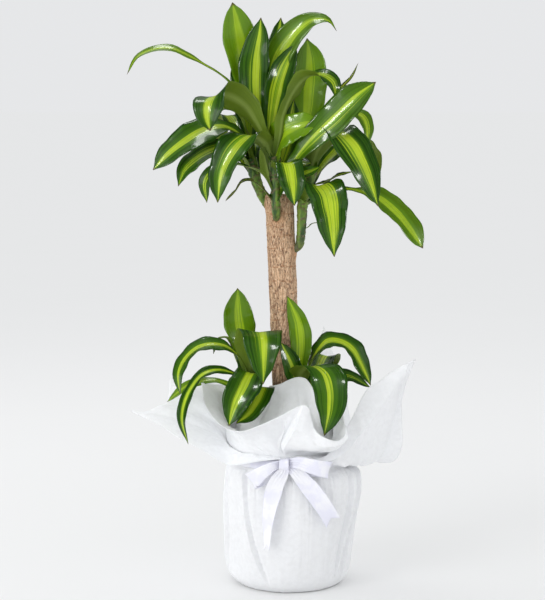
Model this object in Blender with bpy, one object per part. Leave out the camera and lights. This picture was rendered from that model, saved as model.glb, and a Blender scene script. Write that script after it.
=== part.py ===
"""Potted corn plant: a woody cane crowned by three leafy shoots, with two young shoots at its foot, growing
in a nursery pot that stands in three gathered sheets of florist's fleece, tied with a ribbon bow.

Metres, +Z up. The origin is the middle of the flat underside, and the bow looks along -Y.
"""

import math
from collections import namedtuple

import bmesh
import bpy
from mathutils import Vector

MM = 0.001
GAP = 0.35 * MM

# The nursery pot and its soil.
POT_BASE_R = 56 * MM
POT_TOP_R = 72 * MM
POT_RIM_R = 75.5 * MM
POT_RIM_DROP = 14 * MM
POT_TOP_Z = 165 * MM
POT_WALL = 2 * MM
POT_FLOOR = 2.6 * MM
POT_BASE_Z = 4.05 * MM
POT_SIDES = 32
DRAIN_R = 5 * MM
DRAIN_CIRCLE_R = 38 * MM
DRAIN_COUNT = 5
SOIL_TOP_Z = 151 * MM
SOIL_LUMP = 1.6 * MM

# The cane, which leans a little to the left as it rises.
CANE_R = 18.5 * MM
CANE_FOOT = Vector((3, 3, 70)) * MM
CANE_TOP = Vector((-14, 0, 516)) * MM
CANE_BARK = 0.7 * MM
CANE_SIDES = 22
CANE_RINGS = 18

# The shoots' stems.
STEM_SIDES = 8
STEM_SECTIONS = 9

# The sheets: thickness, and radius and height up the outside of the wrapped pot.
SHEET = 1.0 * MM
TIE_Z = 172 * MM
NECK_HALF = 8 * MM
NECK_R = 80.6 * MM
# Rows are (radius on the right, radius on the left, height) in mm: the fleece sags fuller on the left.
OUTER_BODY = ((62, 62, 0), (66.5, 68, 3), (73, 82, 16), (83, 86.5, 48), (91, 87, 94), (91, 85.5, 130), (84.5, 82.5, 154))
INNER_BODY = ((59.5, 59.5, 1.4), (72.5, 72.5, 30), (79, 79, 140))
LINING_BODY = ((58, 58, 2.8), (71, 71, 40), (77, 77, 138))
BODY_FOLD = 1.6 * MM
BODY_FOLDS = 7
NECK_STEP = SHEET + GAP

WRAP_COLUMNS = 44
FLARE_STEPS = 5

# The ribbon.
BAND_HALF = 6.5 * MM
RIBBON = 0.9 * MM
RIBBON_W = 24 * MM
KNOT = Vector((-8, -89, 177)) * MM
KNOT_HALF = Vector((9, 5, 8)) * MM

# Leaf blades: thickness, fold of the two halves, and waves along each edge.
BLADE = 1.0 * MM
FOLD_ROOT = math.radians(38)
FOLD_BLADE = math.radians(10)
FOLD_OPENS = 0.32
WAVE = 2.6 * MM
WAVES = 2.6
# Share of a leaf's full width, from its root to its tip, for a leaf that is widest at PEAK of its length.
PEAK = 0.6
BLADE_OUTLINE = ((0, 0.40), (0.15, 0.37), (0.36, 0.72), (0.6, 1.0), (0.8, 0.83), (0.93, 0.44), (1, 0.04))

# A leaf: where it leaves its stem (0 root, 1 growing tip), its width in mm, the share of its length at
# which it is widest, the points in mm that its midrib passes with its tip last, and the ways in which its
# width runs from root to tip, or None for a leaf that arches straight out. Seen with its tip upwards and
# its upper face in front, a leaf's width runs to the right.
Leaf = namedtuple("Leaf", "at width peak midrib sides")
# A shoot: its stem's points in mm, the stem's radius in mm at root and tip, and its leaves.
Shoot = namedtuple("Shoot", "name stem radii leaves")

RIGHTWARD = (1, 0, 0)
LEFTWARD = (-1, 0, 0)

CROWN_FRONT = Shoot(
    "crown_shoot_front",
    ((-17, -12, 483), (-18, -25, 494), (-19, -27, 530), (-20, -22, 566)),
    (5.2, 6.6),
    (
        Leaf(0.75, 40, 0.60, ((-36, -26, 594), (-52, -27, 626), (-68, -34, 646), (-86, -46, 651),
                              (-99, -60, 641), (-104, -66, 619), (-103, -66, 597)),
             ((-1, 0.2, 0), (-1, 0.3, -0.4), (-1, 0.3, -0.2))),
        Leaf(0.95, 30, 0.55, ((-14, -34, 590), (-9, -34, 621), (4, -30, 650), (21, -26, 668), (39, -24, 672),
                              (56, -24, 664), (58, -24, 645)),
             ((-1, -0.3, 0), (-0.6, -1, 0), (-0.5, -1, 0))),
        Leaf(0.90, 47, 0.72, ((-34, 8, 600), (-45, 12, 626), (-57, 13, 671), (-65, 12, 716), (-75, 4, 765)),
             ((1, 0.2, 0),)),
        Leaf(1.00, 40, 0.62, ((-36, -12, 600), (-46, -10, 640), (-46, -8, 690), (-40, -8, 728), (-38, -8, 745)),
             (RIGHTWARD,)),
        Leaf(1.00, 28, 0.60, ((-20, 12, 620), (-16, 30, 690), (-11, 34, 745)), (RIGHTWARD,)),
        Leaf(0.92, 34, 0.50, ((-24, 8, 630), (-23, 8, 664), (-17, 8, 700), (-4, 6, 721), (11, 4, 737),
                              (30, 2, 746), (50, 0, 743), (60, -2, 730)),
             ((1, 0.3, 0), (1, -0.2, -0.3), (0, -0.7, -0.7))),
        Leaf(0.98, 36, 0.60, ((-25, -16, 600), (-22, -12, 626), (-14, -8, 664), (-3, -2, 692), (8, 2, 712)),
             ((1, 0.3, 0),)),
        Leaf(0.70, 42, 0.55, ((-12, -27, 580), (-1, -32, 598), (14, -37, 610), (37, -40, 612)),
             ((0.4, -0.4, -0.8),)),
        Leaf(0.50, 36, 0.55, ((-12, -38, 556), (-3, -54, 558), (2, -62, 538), (5, -64, 505)),
             (LEFTWARD,)),
        Leaf(0.72, 42, 0.55, ((-34, -26, 584), (-52, -40, 594), (-66, -52, 586), (-80, -58, 569),
                              (-89, -62, 548), (-93, -62, 509)),
             ((-1, 0.3, 0),)),
        Leaf(0.42, 22, 0.62, ((-38, -32, 546), (-64, -36, 556), (-90, -36, 555), (-109, -32, 536),
                              (-108, -30, 507)),
             ((0, 1, 0), (-0.5, 1, 0), (-1, 0.3, 0))),
        Leaf(0.40, 46, 0.68, ((10, -38, 568), (32, -45, 594), (60, -48, 620), (90, -48, 648), (109, -44, 662)),
             ((0.6, -0.5, -0.8),)),
        Leaf(0.60, 24, 0.55, ((0, -42, 540), (16, -46, 544), (39, -48, 554)), ((0, -0.8, -0.6),)),
        Leaf(0.66, 34, 0.60, ((0, -26, 550), (14, -26, 556), (28, -26, 558)), ((0.2, -0.8, -0.6),)),
        Leaf(0.95, 40, 0.60, ((-14, 20, 620), (-10, 50, 680), (-8, 80, 712)), (RIGHTWARD,)),
        Leaf(0.30, 9, 0.75, ((-41, -33, 530), (-52, -32, 537), (-62, -32, 534), (-71, -32, 522), (-84, -32, 509)),
             ((0, 1, 0.3),)),
    ),
)

CROWN_LEFT = Shoot(
    "crown_shoot_left",
    ((-25, 2, 497), (-33, 5, 508), (-42, 8, 528), (-52, 12, 562)),
    (5.6, 8.6),
    (
        Leaf(0.95, 17, 0.75, ((-62, 24, 610), (-80, 28, 662), (-114, 22, 686), (-136, 18, 698), (-157, 16, 706),
                              (-180, 14, 704), (-198, 12, 696), (-213, 8, 672)),
             ((0, 1, 0.1), (0, 1, 0.5), (-0.3, 1, 0.6))),
        Leaf(0.85, 44, 0.62, ((-62, 0, 592), (-85, -12, 609), (-113, -26, 605), (-133, -36, 593), (-150, -42, 578),
                              (-176, -48, 551)),
             ((-0.3, 1, 0.2), (-0.3, 0.6, 0.6), (-0.5, 0.5, 0.7))),
        Leaf(0.60, 34, 0.60, ((-66, 2, 568), (-85, -10, 578), (-104, -18, 573), (-123, -24, 562), (-136, -28, 550),
                              (-145, -28, 528)),
             ((-0.3, 1, 0.3), (-0.3, 0.7, 0.6), (-0.5, 0.6, 0.6))),
        Leaf(0.90, 28, 0.60, ((-58, 20, 600), (-70, 24, 622), (-88, 16, 628), (-106, 4, 598)),
             ((-0.3, 1, 0.2),)),
        Leaf(0.80, 42, 0.60, ((-64, 34, 590), (-82, 70, 618), (-96, 108, 606), (-104, 132, 560)), None),
        Leaf(0.65, 40, 0.60, ((-48, 40, 575), (-40, 80, 590), (-32, 118, 572), (-28, 138, 525)), None),
        Leaf(0.50, 36, 0.60, ((-66, 28, 560), (-92, 56, 578), (-116, 78, 572), (-130, 92, 545)), None),
        Leaf(1.00, 38, 0.60, ((-56, 24, 610), (-62, 46, 656), (-72, 64, 694)), ((1, 0.2, 0),)),
    ),
)

CROWN_RIGHT = Shoot(
    "crown_shoot_right",
    ((0, -4, 438), (11, -6, 445), (17, -7, 462), (19, -7, 500), (30, -2, 550)),
    (5.0, 7.4),
    (
        Leaf(0.85, 42, 0.50, ((39, -14, 576), (52, -26, 594), (67, -38, 597), (81, -46, 584), (94, -54, 560),
                              (104, -58, 532), (112, -60, 504)),
             ((-1, -0.2, 0), (-1, -0.3, 0), (-0.9, -0.2, -0.4))),
        Leaf(1.00, 44, 0.62, ((22, 10, 598), (26, 16, 640), (28, 17, 675), (25, 14, 703), (22, 10, 719)),
             (RIGHTWARD,)),
        Leaf(0.95, 24, 0.60, ((48, 14, 584), (70, 22, 612), (88, 25, 624), (100, 22, 618), (105, 18, 602),
                              (101, 14, 583)),
             ((-0.3, -1, 0),)),
        Leaf(0.55, 34, 0.76, ((44, 5, 514), (73, 9, 523), (96, 6, 519), (117, 2, 512), (135, -2, 498),
                              (156, -6, 474), (174, -8, 446)),
             ((0, -1, -0.2), (-0.2, -0.7, -0.5), (-0.3, -0.5, -0.8))),
        Leaf(0.60, 52, 0.44, ((23, -26, 514), (36, -46, 530), (45, -58, 522), (51, -64, 496), (56, -66, 440)),
             (LEFTWARD,)),
        Leaf(0.80, 12, 0.60, ((46, 2, 532), (64, 4, 541), (84, 6, 546)), ((0, -1, -0.3),)),
        Leaf(0.95, 6, 0.60, ((46, 26, 608), (68, 30, 656), (81, 30, 670), (90, 30, 688)), (RIGHTWARD,)),
        Leaf(0.30, 5, 0.60, ((23, -12, 474), (29, -13, 479), (38, -13, 480)), ((0, -1, 0),)),
        Leaf(0.90, 44, 0.60, ((42, 42, 600), (48, 88, 632), (52, 126, 618), (56, 146, 572)), None),
        Leaf(0.70, 42, 0.60, ((56, 34, 565), (86, 66, 585), (108, 92, 570), (120, 106, 530)), None),
        Leaf(0.60, 38, 0.60, ((30, 36, 550), (20, 76, 566), (14, 108, 550), (10, 124, 510)), None),
    ),
)

LOW_LEFT = Shoot(
    "low_shoot_left",
    ((-40, -8, 128), (-42, -9, 150), (-46, -11, 210), (-51, -13, 268)),
    (6.0, 5.4),
    (
        Leaf(0.95, 40, 0.64, ((-56, -6, 294), (-62, -2, 324), (-66, 0, 356), (-69, -2, 391)),
             ((1, 0.2, 0),)),
        Leaf(1.00, 57, 0.45, ((-47, -34, 316), (-40, -52, 341), (-37, -68, 335), (-35, -82, 308), (-35, -90, 279)),
             (LEFTWARD,)),
        Leaf(0.90, 27, 0.70, ((-68, -14, 304), (-84, -14, 317), (-102, -14, 320), (-120, -16, 316),
                              (-135, -20, 304), (-145, -24, 285), (-144, -26, 256)),
             ((0, 1, 0.3), (0, 0.9, 0.6), (-0.6, 0.8, 0.2))),
        Leaf(0.80, 21, 0.60, ((-75, -36, 285), (-97, -44, 290), (-114, -52, 285), (-126, -60, 272),
                              (-136, -70, 252), (-139, -78, 233), (-131, -84, 200)),
             ((0, 1, 0.3), (-0.2, 0.9, 0.5), (-0.8, 0.6, 0.1))),
        Leaf(0.85, 38, 0.55, ((-49, -34, 280), (-49, -52, 288), (-56, -70, 270), (-66, -80, 250), (-77, -84, 224)),
             ((-1, 0.3, 0), (-0.9, 0.3, 0.4))),
        Leaf(0.70, 34, 0.55, ((-38, -30, 264), (-34, -46, 268), (-40, -60, 254), (-51, -70, 238), (-68, -74, 224)),
             ((-1, 0.2, 0), (-0.9, 0.3, 0.4))),
        Leaf(0.92, 18, 0.60, ((-66, 8, 305), (-82, 20, 326), (-95, 25, 322), (-101, 26, 304)), None),
        Leaf(0.60, 14, 0.60, ((-72, 2, 258), (-100, 12, 266), (-134, 10, 258), (-160, 0, 238)), None),
        Leaf(0.75, 38, 0.60, ((-56, 24, 288), (-58, 56, 302), (-60, 80, 290), (-62, 96, 266)), None),
    ),
)

LOW_RIGHT = Shoot(
    "low_shoot_right",
    ((17, -26, 128), (17, -26, 150), (16, -25, 210), (14, -24, 264)),
    (6.0, 5.4),
    (
        Leaf(0.95, 30, 0.62, ((12, -22, 295), (12, -20, 324), (9, -19, 348), (1, -20, 368), (-5, -22, 382)),
             (RIGHTWARD,)),
        Leaf(0.90, 32, 0.70, ((27, -18, 295), (37, -17, 313), (50, -15, 325), (68, -14, 323), (82, -15, 313),
                              (91, -16, 298), (99, -17, 282), (106, -18, 266)),
             ((-0.2, -1, -0.3), (0, -0.8, -0.6), (-0.6, -0.8, -0.3))),
        Leaf(0.85, 48, 0.52, ((16, -38, 288), (31, -57, 297), (46, -74, 289), (52, -86, 269), (51, -92, 246),
                              (43, -94, 213)),
             ((-1, -0.3, 0), LEFTWARD)),
        Leaf(0.60, 20, 0.60, ((40, -8, 270), (74, -2, 276), (106, 4, 262)), ((0, -0.8, -0.5),)),
        Leaf(0.75, 26, 0.60, ((4, -32, 290), (-12, -31, 325)), ((1, 0.3, 0),)),
        Leaf(0.70, 38, 0.60, ((36, -4, 276), (48, 28, 298), (54, 52, 292), (58, 68, 270)), None),
    ),
)

SHOOTS_ON_CANE = (CROWN_FRONT, CROWN_LEFT, CROWN_RIGHT)
SHOOTS_IN_SOIL = (LOW_LEFT, LOW_RIGHT)

# Each sheet's free edge, anticlockwise from the right: a point in mm, how far the cloth curls up and over
# just inside it, in mm, and whether the edge turns a sharp corner there.
Edge = namedtuple("Edge", "point curl corner")
OUTER_EDGE = (
    Edge((160, -6, 292), 0, True),
    Edge((148, 16, 250), 2, False),
    Edge((152, 36, 196), 4, False),
    Edge((146, 56, 154), 4, True),
    Edge((112, 86, 196), 6, False),
    Edge((76, 98, 262), 2, False),
    Edge((48, 108, 328), 0, True),
    Edge((20, 112, 262), 4, False),
    Edge((-14, 116, 232), 8, False),
    Edge((-60, 112, 230), 8, False),
    Edge((-110, 94, 246), 4, False),
    Edge((-162, 56, 254), 0, True),
    Edge((-165, 24, 226), 4, False),
    Edge((-210, -22, 232), 0, True),
    Edge((-146, -50, 203), 2, False),
    Edge((-112, -68, 189), 2, False),
    Edge((-82, -78, 180), 2, False),
    Edge((-52, -68, 184), 0, False),
    Edge((-14, -83, 183), 0, False),
    Edge((26, -83, 181.5), 0, False),
    Edge((60, -62, 182), 0, False),
    Edge((90, -66, 208), 2, False),
    Edge((102, -44, 238), 2, False),
    Edge((118, -24, 264), 0, False),
)
INNER_EDGE = (
    Edge((88, -14, 250), 6, False),
    Edge((88, 18, 248), 6, False),
    Edge((72, 46, 240), 4, False),
    Edge((42, 70, 236), 2, False),
    Edge((0, 82, 232), 4, False),
    Edge((-46, 80, 234), 6, False),
    Edge((-82, 62, 242), 6, False),
    Edge((-104, 40, 240), 6, False),
    Edge((-118, 18, 246), 6, False),
    Edge((-125, -8, 268), 4, True),
    Edge((-122, -30, 246), 8, False),
    Edge((-112, -52, 232), 10, False),
    Edge((-88, -86, 216), 12, False),
    Edge((-58, -106, 217), 12, False),
    Edge((-30, -115, 230), 10, False),
    Edge((-6, -115, 244), 8, False),
    Edge((10, -108, 256), 4, True),
    Edge((22, -104, 232), 6, False),
    Edge((36, -112, 209), 5, False),
    Edge((52, -114, 203), 5, False),
    Edge((68, -100, 210), 8, False),
    Edge((80, -72, 230), 10, False),
    Edge((86, -42, 244), 8, False),
)
LINING_EDGE = (
    Edge((74, 0, 212), 0, False),
    Edge((66, 32, 208), 0, False),
    Edge((44, 58, 206), 0, False),
    Edge((8, 72, 204), 0, False),
    Edge((-34, 66, 206), 0, False),
    Edge((-62, 42, 208), 0, False),
    Edge((-76, 6, 212), 0, False),
    Edge((-76, -30, 218), 0, False),
    Edge((-68, -46, 226), 0, False),
    Edge((-52, -50, 238), 0, False),
    Edge((-34, -40, 240), 0, False),
    Edge((-14, -43, 268), 0, False),
    Edge((8, -51, 282), 0, False),
    Edge((26, -55, 272), 0, False),
    Edge((40, -62, 240), 0, False),
    Edge((60, -44, 216), 0, False),
)

MATERIALS = {
    "leaf": ((0.06, 0.20, 0.02), 0.35, 0.0),
    "bark": ((0.45, 0.27, 0.15), 0.85, 0.0),
    "soil": ((0.05, 0.03, 0.02), 0.95, 0.0),
    "pot": ((0.16, 0.06, 0.03), 0.5, 0.0),
    "fleece": ((0.88, 0.89, 0.91), 0.9, 0.0),
    "satin": ((0.86, 0.87, 0.95), 0.35, 0.0),
}


def clear_scene():
    for obj in list(bpy.data.objects):
        bpy.data.objects.remove(obj)


def material(name):
    """One Principled material for each finish, made on first use."""
    found = bpy.data.materials.get(name)
    if found:
        return found
    colour, roughness, metallic = MATERIALS[name]
    made = bpy.data.materials.new(name)
    made.use_nodes = True
    shader = made.node_tree.nodes["Principled BSDF"]
    shader.inputs["Base Color"].default_value = (*colour, 1)
    shader.inputs["Roughness"].default_value = roughness
    shader.inputs["Metallic"].default_value = metallic
    return made


def new_object(name, vertices, faces, finish):
    mesh = bpy.data.meshes.new(name)
    mesh.from_pydata([tuple(v) for v in vertices], [], faces)
    mesh.validate()
    mesh.materials.append(material(finish))
    mesh.shade_smooth()
    mesh.set_sharp_from_angle(angle=math.radians(50))
    obj = bpy.data.objects.new(name, mesh)
    bpy.context.scene.collection.objects.link(obj)
    return obj


def spline(points, steps):
    """steps + 1 points, evenly spaced along a smooth curve that passes the given ones."""
    given = [Vector(p) for p in points]
    gaps = [(b - a).length for a, b in zip(given, given[1:])]
    slopes = [(given[1] - given[0]) / gaps[0]]
    for i in range(1, len(given) - 1):
        before = (given[i] - given[i - 1]) / gaps[i - 1]
        after = (given[i + 1] - given[i]) / gaps[i]
        slopes.append((before * gaps[i] + after * gaps[i - 1]) / (gaps[i - 1] + gaps[i]))
    slopes.append((given[-1] - given[-2]) / gaps[-1])
    fine = 24
    dense = [given[0]]
    for i, gap in enumerate(gaps):
        for k in range(1, fine + 1):
            dense.append(hermite(given[i], slopes[i] * gap, given[i + 1], slopes[i + 1] * gap, k / fine))
    return evenly_spaced(dense, steps)


def hermite(start, leaving, end, arriving, t):
    square, cube = t * t, t * t * t
    return (start * (2 * cube - 3 * square + 1) + leaving * (cube - 2 * square + t)
            + end * (3 * square - 2 * cube) + arriving * (cube - square))


def evenly_spaced(dense, steps):
    lengths = [0.0]
    for a, b in zip(dense, dense[1:]):
        lengths.append(lengths[-1] + (b - a).length)
    found, i = [], 0
    for k in range(steps + 1):
        wanted = lengths[-1] * k / steps
        while i < len(dense) - 2 and lengths[i + 1] < wanted:
            i += 1
        span = lengths[i + 1] - lengths[i]
        found.append(dense[i].lerp(dense[i + 1], (wanted - lengths[i]) / span))
    return found


def tangents(path):
    ends = [path[0]] + path + [path[-1]]
    return [(ends[i + 2] - ends[i]).normalized() for i in range(len(path))]


def value_at(table, x):
    """A smoothed reading between the rows of a table of (place, value)."""
    for (x0, y0), (x1, y1) in zip(table, table[1:]):
        if x <= x1:
            t = (x - x0) / (x1 - x0)
            return y0 + (y1 - y0) * t * t * (3 - 2 * t)
    return table[-1][1]


def mixed(ways, share):
    """The direction at this share of the way along a row of directions."""
    if len(ways) == 1:
        return Vector(ways[0])
    place = share * (len(ways) - 1)
    first = min(int(place), len(ways) - 2)
    return Vector(ways[first]).normalized().lerp(Vector(ways[first + 1]).normalized(), place - first)


def blade_frames(path, sides):
    """For each point of a midrib, the unit vectors along the blade's width and out of its upper face."""
    out = path[-1] - path[0]
    found = []
    for i, along in enumerate(tangents(path)):
        side = mixed(sides, i / (len(path) - 1)) if sides else Vector((out.y, -out.x, 0))
        side = (side - along * along.dot(side)).normalized()
        found.append((side, side.cross(along)))
    return found


def blade_grid(path, sides, width, peak, across, phase):
    """The middle surface of a leaf blade: rows along its midrib, each a row of points across it."""
    rows = []
    last = len(path) - 1
    for i, (side, upper) in enumerate(blade_frames(path, sides)):
        share = i / last
        half = width / 2 * value_at(BLADE_OUTLINE, share ** (math.log(PEAK) / math.log(peak)))
        fold = FOLD_ROOT + (FOLD_BLADE - FOLD_ROOT) * min(1, share / FOLD_OPENS)
        row = []
        for t in across:
            wave = WAVE * min(1, width / (40 * MM)) * math.sin(math.tau * WAVES * share + phase + 2.2 * (t > 0))
            lift = abs(t) ** 1.3 * half * math.sin(fold) + wave * t * t * math.sin(math.pi * share)
            row.append((path[i] + side * (t * half * math.cos(fold)) + upper * lift, upper))
        rows.append(row)
    return rows


def solid_sheet(name, rows, thickness, finish):
    """A closed solid of even thickness round a grid of (point, normal), cut into triangles alike on both faces."""
    count, wide = len(rows), len(rows[0])
    vertices = [p + n * (thickness / 2) for row in rows for p, n in row]
    vertices += [p - n * (thickness / 2) for row in rows for p, n in row]
    under = count * wide
    faces = []
    for i in range(count - 1):
        for j in range(wide - 1):
            a, b, c, d = i * wide + j, i * wide + j + 1, (i + 1) * wide + j + 1, (i + 1) * wide + j
            faces += [(a, b, c), (a, c, d), (under + c, under + b, under + a), (under + d, under + c, under + a)]
    ring = [j for j in range(wide)] + [i * wide + wide - 1 for i in range(1, count)]
    ring += [(count - 1) * wide + j for j in range(wide - 2, -1, -1)] + [i * wide for i in range(count - 2, 0, -1)]
    for a, b in zip(ring, ring[1:] + ring[:1]):
        faces += [(b, a, under + a), (b, under + a, under + b)]
    return new_object(name, vertices, faces, finish)


def tube(name, path, radii, sides, finish, relief=None):
    """A closed round bar along a path. relief gives an extra radius from an angle and a share of the length."""
    vertices, faces = [], []
    last = len(path) - 1
    reference = Vector((0, -1, 0))
    for i, along in enumerate(tangents(path)):
        across = along.cross(reference).normalized()
        third = along.cross(across)
        for k in range(sides):
            angle = math.tau * k / sides
            radius = radii[0] + (radii[1] - radii[0]) * i / last
            radius += relief(angle, i / last) if relief else 0
            vertices.append(path[i] + (across * math.cos(angle) + third * math.sin(angle)) * radius)
    for i in range(last):
        for k in range(sides):
            a, b = i * sides + k, i * sides + (k + 1) % sides
            faces.append((a, b, b + sides, a + sides))
    faces.append(tuple(reversed(range(sides))))
    faces.append(tuple(last * sides + k for k in range(sides)))
    return new_object(name, vertices, faces, finish)


def turned(name, profile, sides, finish):
    """A solid of revolution about Z: profile is (radius, height), closed on itself, with no point on the axis
    unless its radius is 0."""
    vertices, rings = [], []
    for radius, height in profile:
        if radius == 0:
            rings.append([len(vertices)] * sides)
            vertices.append(Vector((0, 0, height)))
        else:
            rings.append([len(vertices) + k for k in range(sides)])
            vertices += [Vector((radius * math.cos(math.tau * k / sides), radius * math.sin(math.tau * k / sides),
                                 height)) for k in range(sides)]
    faces = []
    pairs = list(zip(rings, rings[1:]))
    if profile[0][0] != 0:
        pairs.append((rings[-1], rings[0]))
    for low, high in pairs:
        for k in range(sides):
            corners = [low[k], low[(k + 1) % sides], high[(k + 1) % sides], high[k]]
            corners = [c for n, c in enumerate(corners) if c not in corners[:n]]
            if len(corners) > 2:
                faces.append(tuple(corners))
    return new_object(name, vertices, faces, finish)


def apply_modifiers(obj):
    graph = bpy.context.evaluated_depsgraph_get()
    made = bpy.data.meshes.new_from_object(obj.evaluated_get(graph))
    obj.modifiers.clear()
    obj.data = made
    return obj


def cut(obj, cutter):
    boolean = obj.modifiers.new("cut", "BOOLEAN")
    boolean.operation = "DIFFERENCE"
    boolean.object = cutter
    bpy.context.view_layer.update()
    apply_modifiers(obj)
    bpy.data.objects.remove(cutter)


def unite(obj, others):
    """Fuses the other solids into obj with one Boolean on a collection, and removes them."""
    group = bpy.data.collections.new(obj.name + "_parts")
    bpy.context.scene.collection.children.link(group)
    for other in others:
        group.objects.link(other)
        bpy.context.scene.collection.objects.unlink(other)
    boolean = obj.modifiers.new("unite", "BOOLEAN")
    boolean.operation = "UNION"
    boolean.operand_type = "COLLECTION"
    boolean.collection = group
    boolean.solver = "MANIFOLD"
    bpy.context.view_layer.update()
    apply_modifiers(obj)
    for other in others:
        bpy.data.objects.remove(other)
    bpy.data.collections.remove(group)
    return keep_outer_skin(obj)


def keep_outer_skin(obj):
    """Fills the pockets that crowded leaves close off, by dropping every skin but the largest."""
    bm = bmesh.new()
    bm.from_mesh(obj.data)
    left = set(bm.verts)
    skins = []
    while left:
        skin, edge = set(), [left.pop()]
        while edge:
            vertex = edge.pop()
            skin.add(vertex)
            found = [e.other_vert(vertex) for e in vertex.link_edges]
            edge += [v for v in found if v in left]
            left.difference_update(found)
        skins.append(skin)
    for skin in sorted(skins, key=len)[:-1]:
        bmesh.ops.delete(bm, geom=list(skin), context="VERTS")
    bm.to_mesh(obj.data)
    bm.free()
    return obj


def in_metres(points):
    return [Vector(p) * MM for p in points]


def leaf_path(leaf, stem, steps):
    place = leaf.at * (len(stem) - 1)
    first = min(int(place), len(stem) - 2)
    root = stem[first].lerp(stem[first + 1], place - first)
    return spline([root] + in_metres(leaf.midrib), steps)


def leaf_blade(name, leaf, stem, number):
    """One leaf: a folded, waved, arching blade whose root is sunk in its stem."""
    path = leaf_path(leaf, stem, 8 if leaf.sides and leaf.width > 20 else 7)
    across = (-1, -0.5, 0, 0.5, 1) if leaf.width > 45 else (-1, 0, 1)
    rows = blade_grid(path, leaf.sides, leaf.width * MM, leaf.peak, across, phase=1.7 * number)
    return solid_sheet(name, rows, BLADE, "leaf")


def shoot(spec):
    """A green stem with its leaves fused to it."""
    stem = spline(in_metres(spec.stem), STEM_SECTIONS)
    obj = tube(spec.name, stem, [r * MM for r in spec.radii], STEM_SIDES, "leaf")
    leaves = [leaf_blade(f"{spec.name}_leaf_{n}", leaf, stem, n) for n, leaf in enumerate(spec.leaves)]
    return unite(obj, leaves)


def socket(spec, stretch):
    """A cutter for the plain hole that a stem stands in, which follows the first stretch of its sections."""
    stem = spline(in_metres(spec.stem), STEM_SECTIONS)
    ends = [r * MM + GAP * 1.1 for r in spec.radii]
    last = ends[0] + (ends[1] - ends[0]) * stretch / STEM_SECTIONS
    path = stem[:stretch + 1]
    path[0] = stem[0] - (stem[1] - stem[0]).normalized() * GAP
    return tube(spec.name + "_socket", path, (ends[0], last), STEM_SIDES, "bark")


def bark_relief(angle, share):
    """Long fissures with a leaf scar ringing the cane every few centimetres, and a plain foot in the soil."""
    height = CANE_FOOT.z + (CANE_TOP.z - CANE_FOOT.z) * share
    if height < SOIL_TOP_Z + 6 * MM:
        return 0
    fissure = math.sin(9 * angle + 3 * math.sin(19 * share)) * 0.5
    scar = math.sin(math.tau * share * 15 + 0.8 * math.sin(angle)) * 0.5
    return CANE_BARK * (fissure + scar)


def cane():
    path = [CANE_FOOT.lerp(CANE_TOP, k / CANE_RINGS) for k in range(CANE_RINGS + 1)]
    obj = tube("cane", path, (CANE_R, CANE_R), CANE_SIDES, "bark", bark_relief)
    for spec in SHOOTS_ON_CANE:
        cut(obj, socket(spec, 3))
    return obj


def pot():
    """A tapered nursery pot with a rolled rim and drain holes."""
    low = POT_BASE_Z
    lip_z = POT_TOP_Z - POT_RIM_DROP
    profile = (
        (0, low), (POT_BASE_R, low), (POT_TOP_R, lip_z), (POT_RIM_R, lip_z), (POT_RIM_R, POT_TOP_Z),
        (POT_TOP_R - POT_WALL, POT_TOP_Z), (POT_BASE_R - POT_WALL, low + POT_FLOOR), (0, low + POT_FLOOR),
    )
    obj = turned("pot", profile, POT_SIDES, "pot")
    for k in range(DRAIN_COUNT):
        angle = math.tau * (k + 0.3) / DRAIN_COUNT
        middle = Vector((math.cos(angle), math.sin(angle), 0)) * DRAIN_CIRCLE_R
        span = Vector((0, 0, low + POT_FLOOR / 2))
        reach = Vector((0, 0, POT_FLOOR * 2))
        cut(obj, tube(f"drain_{k}", [middle + span - reach, middle + span + reach], (DRAIN_R, DRAIN_R), 10, "pot"))
    return obj


def soil():
    """The potting mix: it fills the pot's inside, and its top is lumpy."""
    low = POT_BASE_Z + POT_FLOOR + GAP
    slope = (POT_TOP_R - POT_BASE_R) / (POT_TOP_Z - low)
    foot_r = POT_BASE_R - POT_WALL - 2 * GAP
    top_r = foot_r + slope * (SOIL_TOP_Z - low) * 0.95
    profile = ((0, low), (foot_r, low), (top_r, SOIL_TOP_Z), (top_r * 0.72, SOIL_TOP_Z), (top_r * 0.42, SOIL_TOP_Z),
               (0, SOIL_TOP_Z))
    obj = turned("soil", profile, POT_SIDES, "soil")
    for vertex in obj.data.vertices:
        x, y, z = vertex.co
        if z > SOIL_TOP_Z - MM:
            vertex.co.z += SOIL_LUMP * math.sin(190 * x + 2) * math.cos(160 * y)
    start = CANE_FOOT - Vector((0, 0, GAP * 2))
    up = CANE_FOOT.lerp(CANE_TOP, 0.3)
    cut(obj, tube("cane_hole", [start, up], (CANE_R + GAP, CANE_R + GAP), CANE_SIDES, "soil"))
    for spec in SHOOTS_IN_SOIL:
        cut(obj, socket(spec, 3))
    return obj


def edge_line(edge):
    """A fine line along a closed free edge: each point with its turn about Z and its curl."""
    points = in_metres([e.point for e in edge])
    count, parts = len(edge), 12
    found, turn = [], math.atan2(points[0].y, points[0].x)
    for i, row in enumerate(edge):
        after = (i + 1) % count
        straight = points[after] - points[i]
        leaving = straight if row.corner else (points[after] - points[i - 1]) / 2
        arriving = straight if edge[after].corner else (points[(after + 1) % count] - points[i]) / 2
        for k in range(parts):
            share = k / parts
            point = hermite(points[i], leaving, points[after], arriving, share)
            turn += (math.atan2(point.y, point.x) - turn + math.pi) % math.tau - math.pi
            found.append((turn, point, (row.curl + (edge[after].curl - row.curl) * share) * MM))
    found.append((found[0][0] + math.tau, found[0][1], found[0][2]))
    return found


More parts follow.
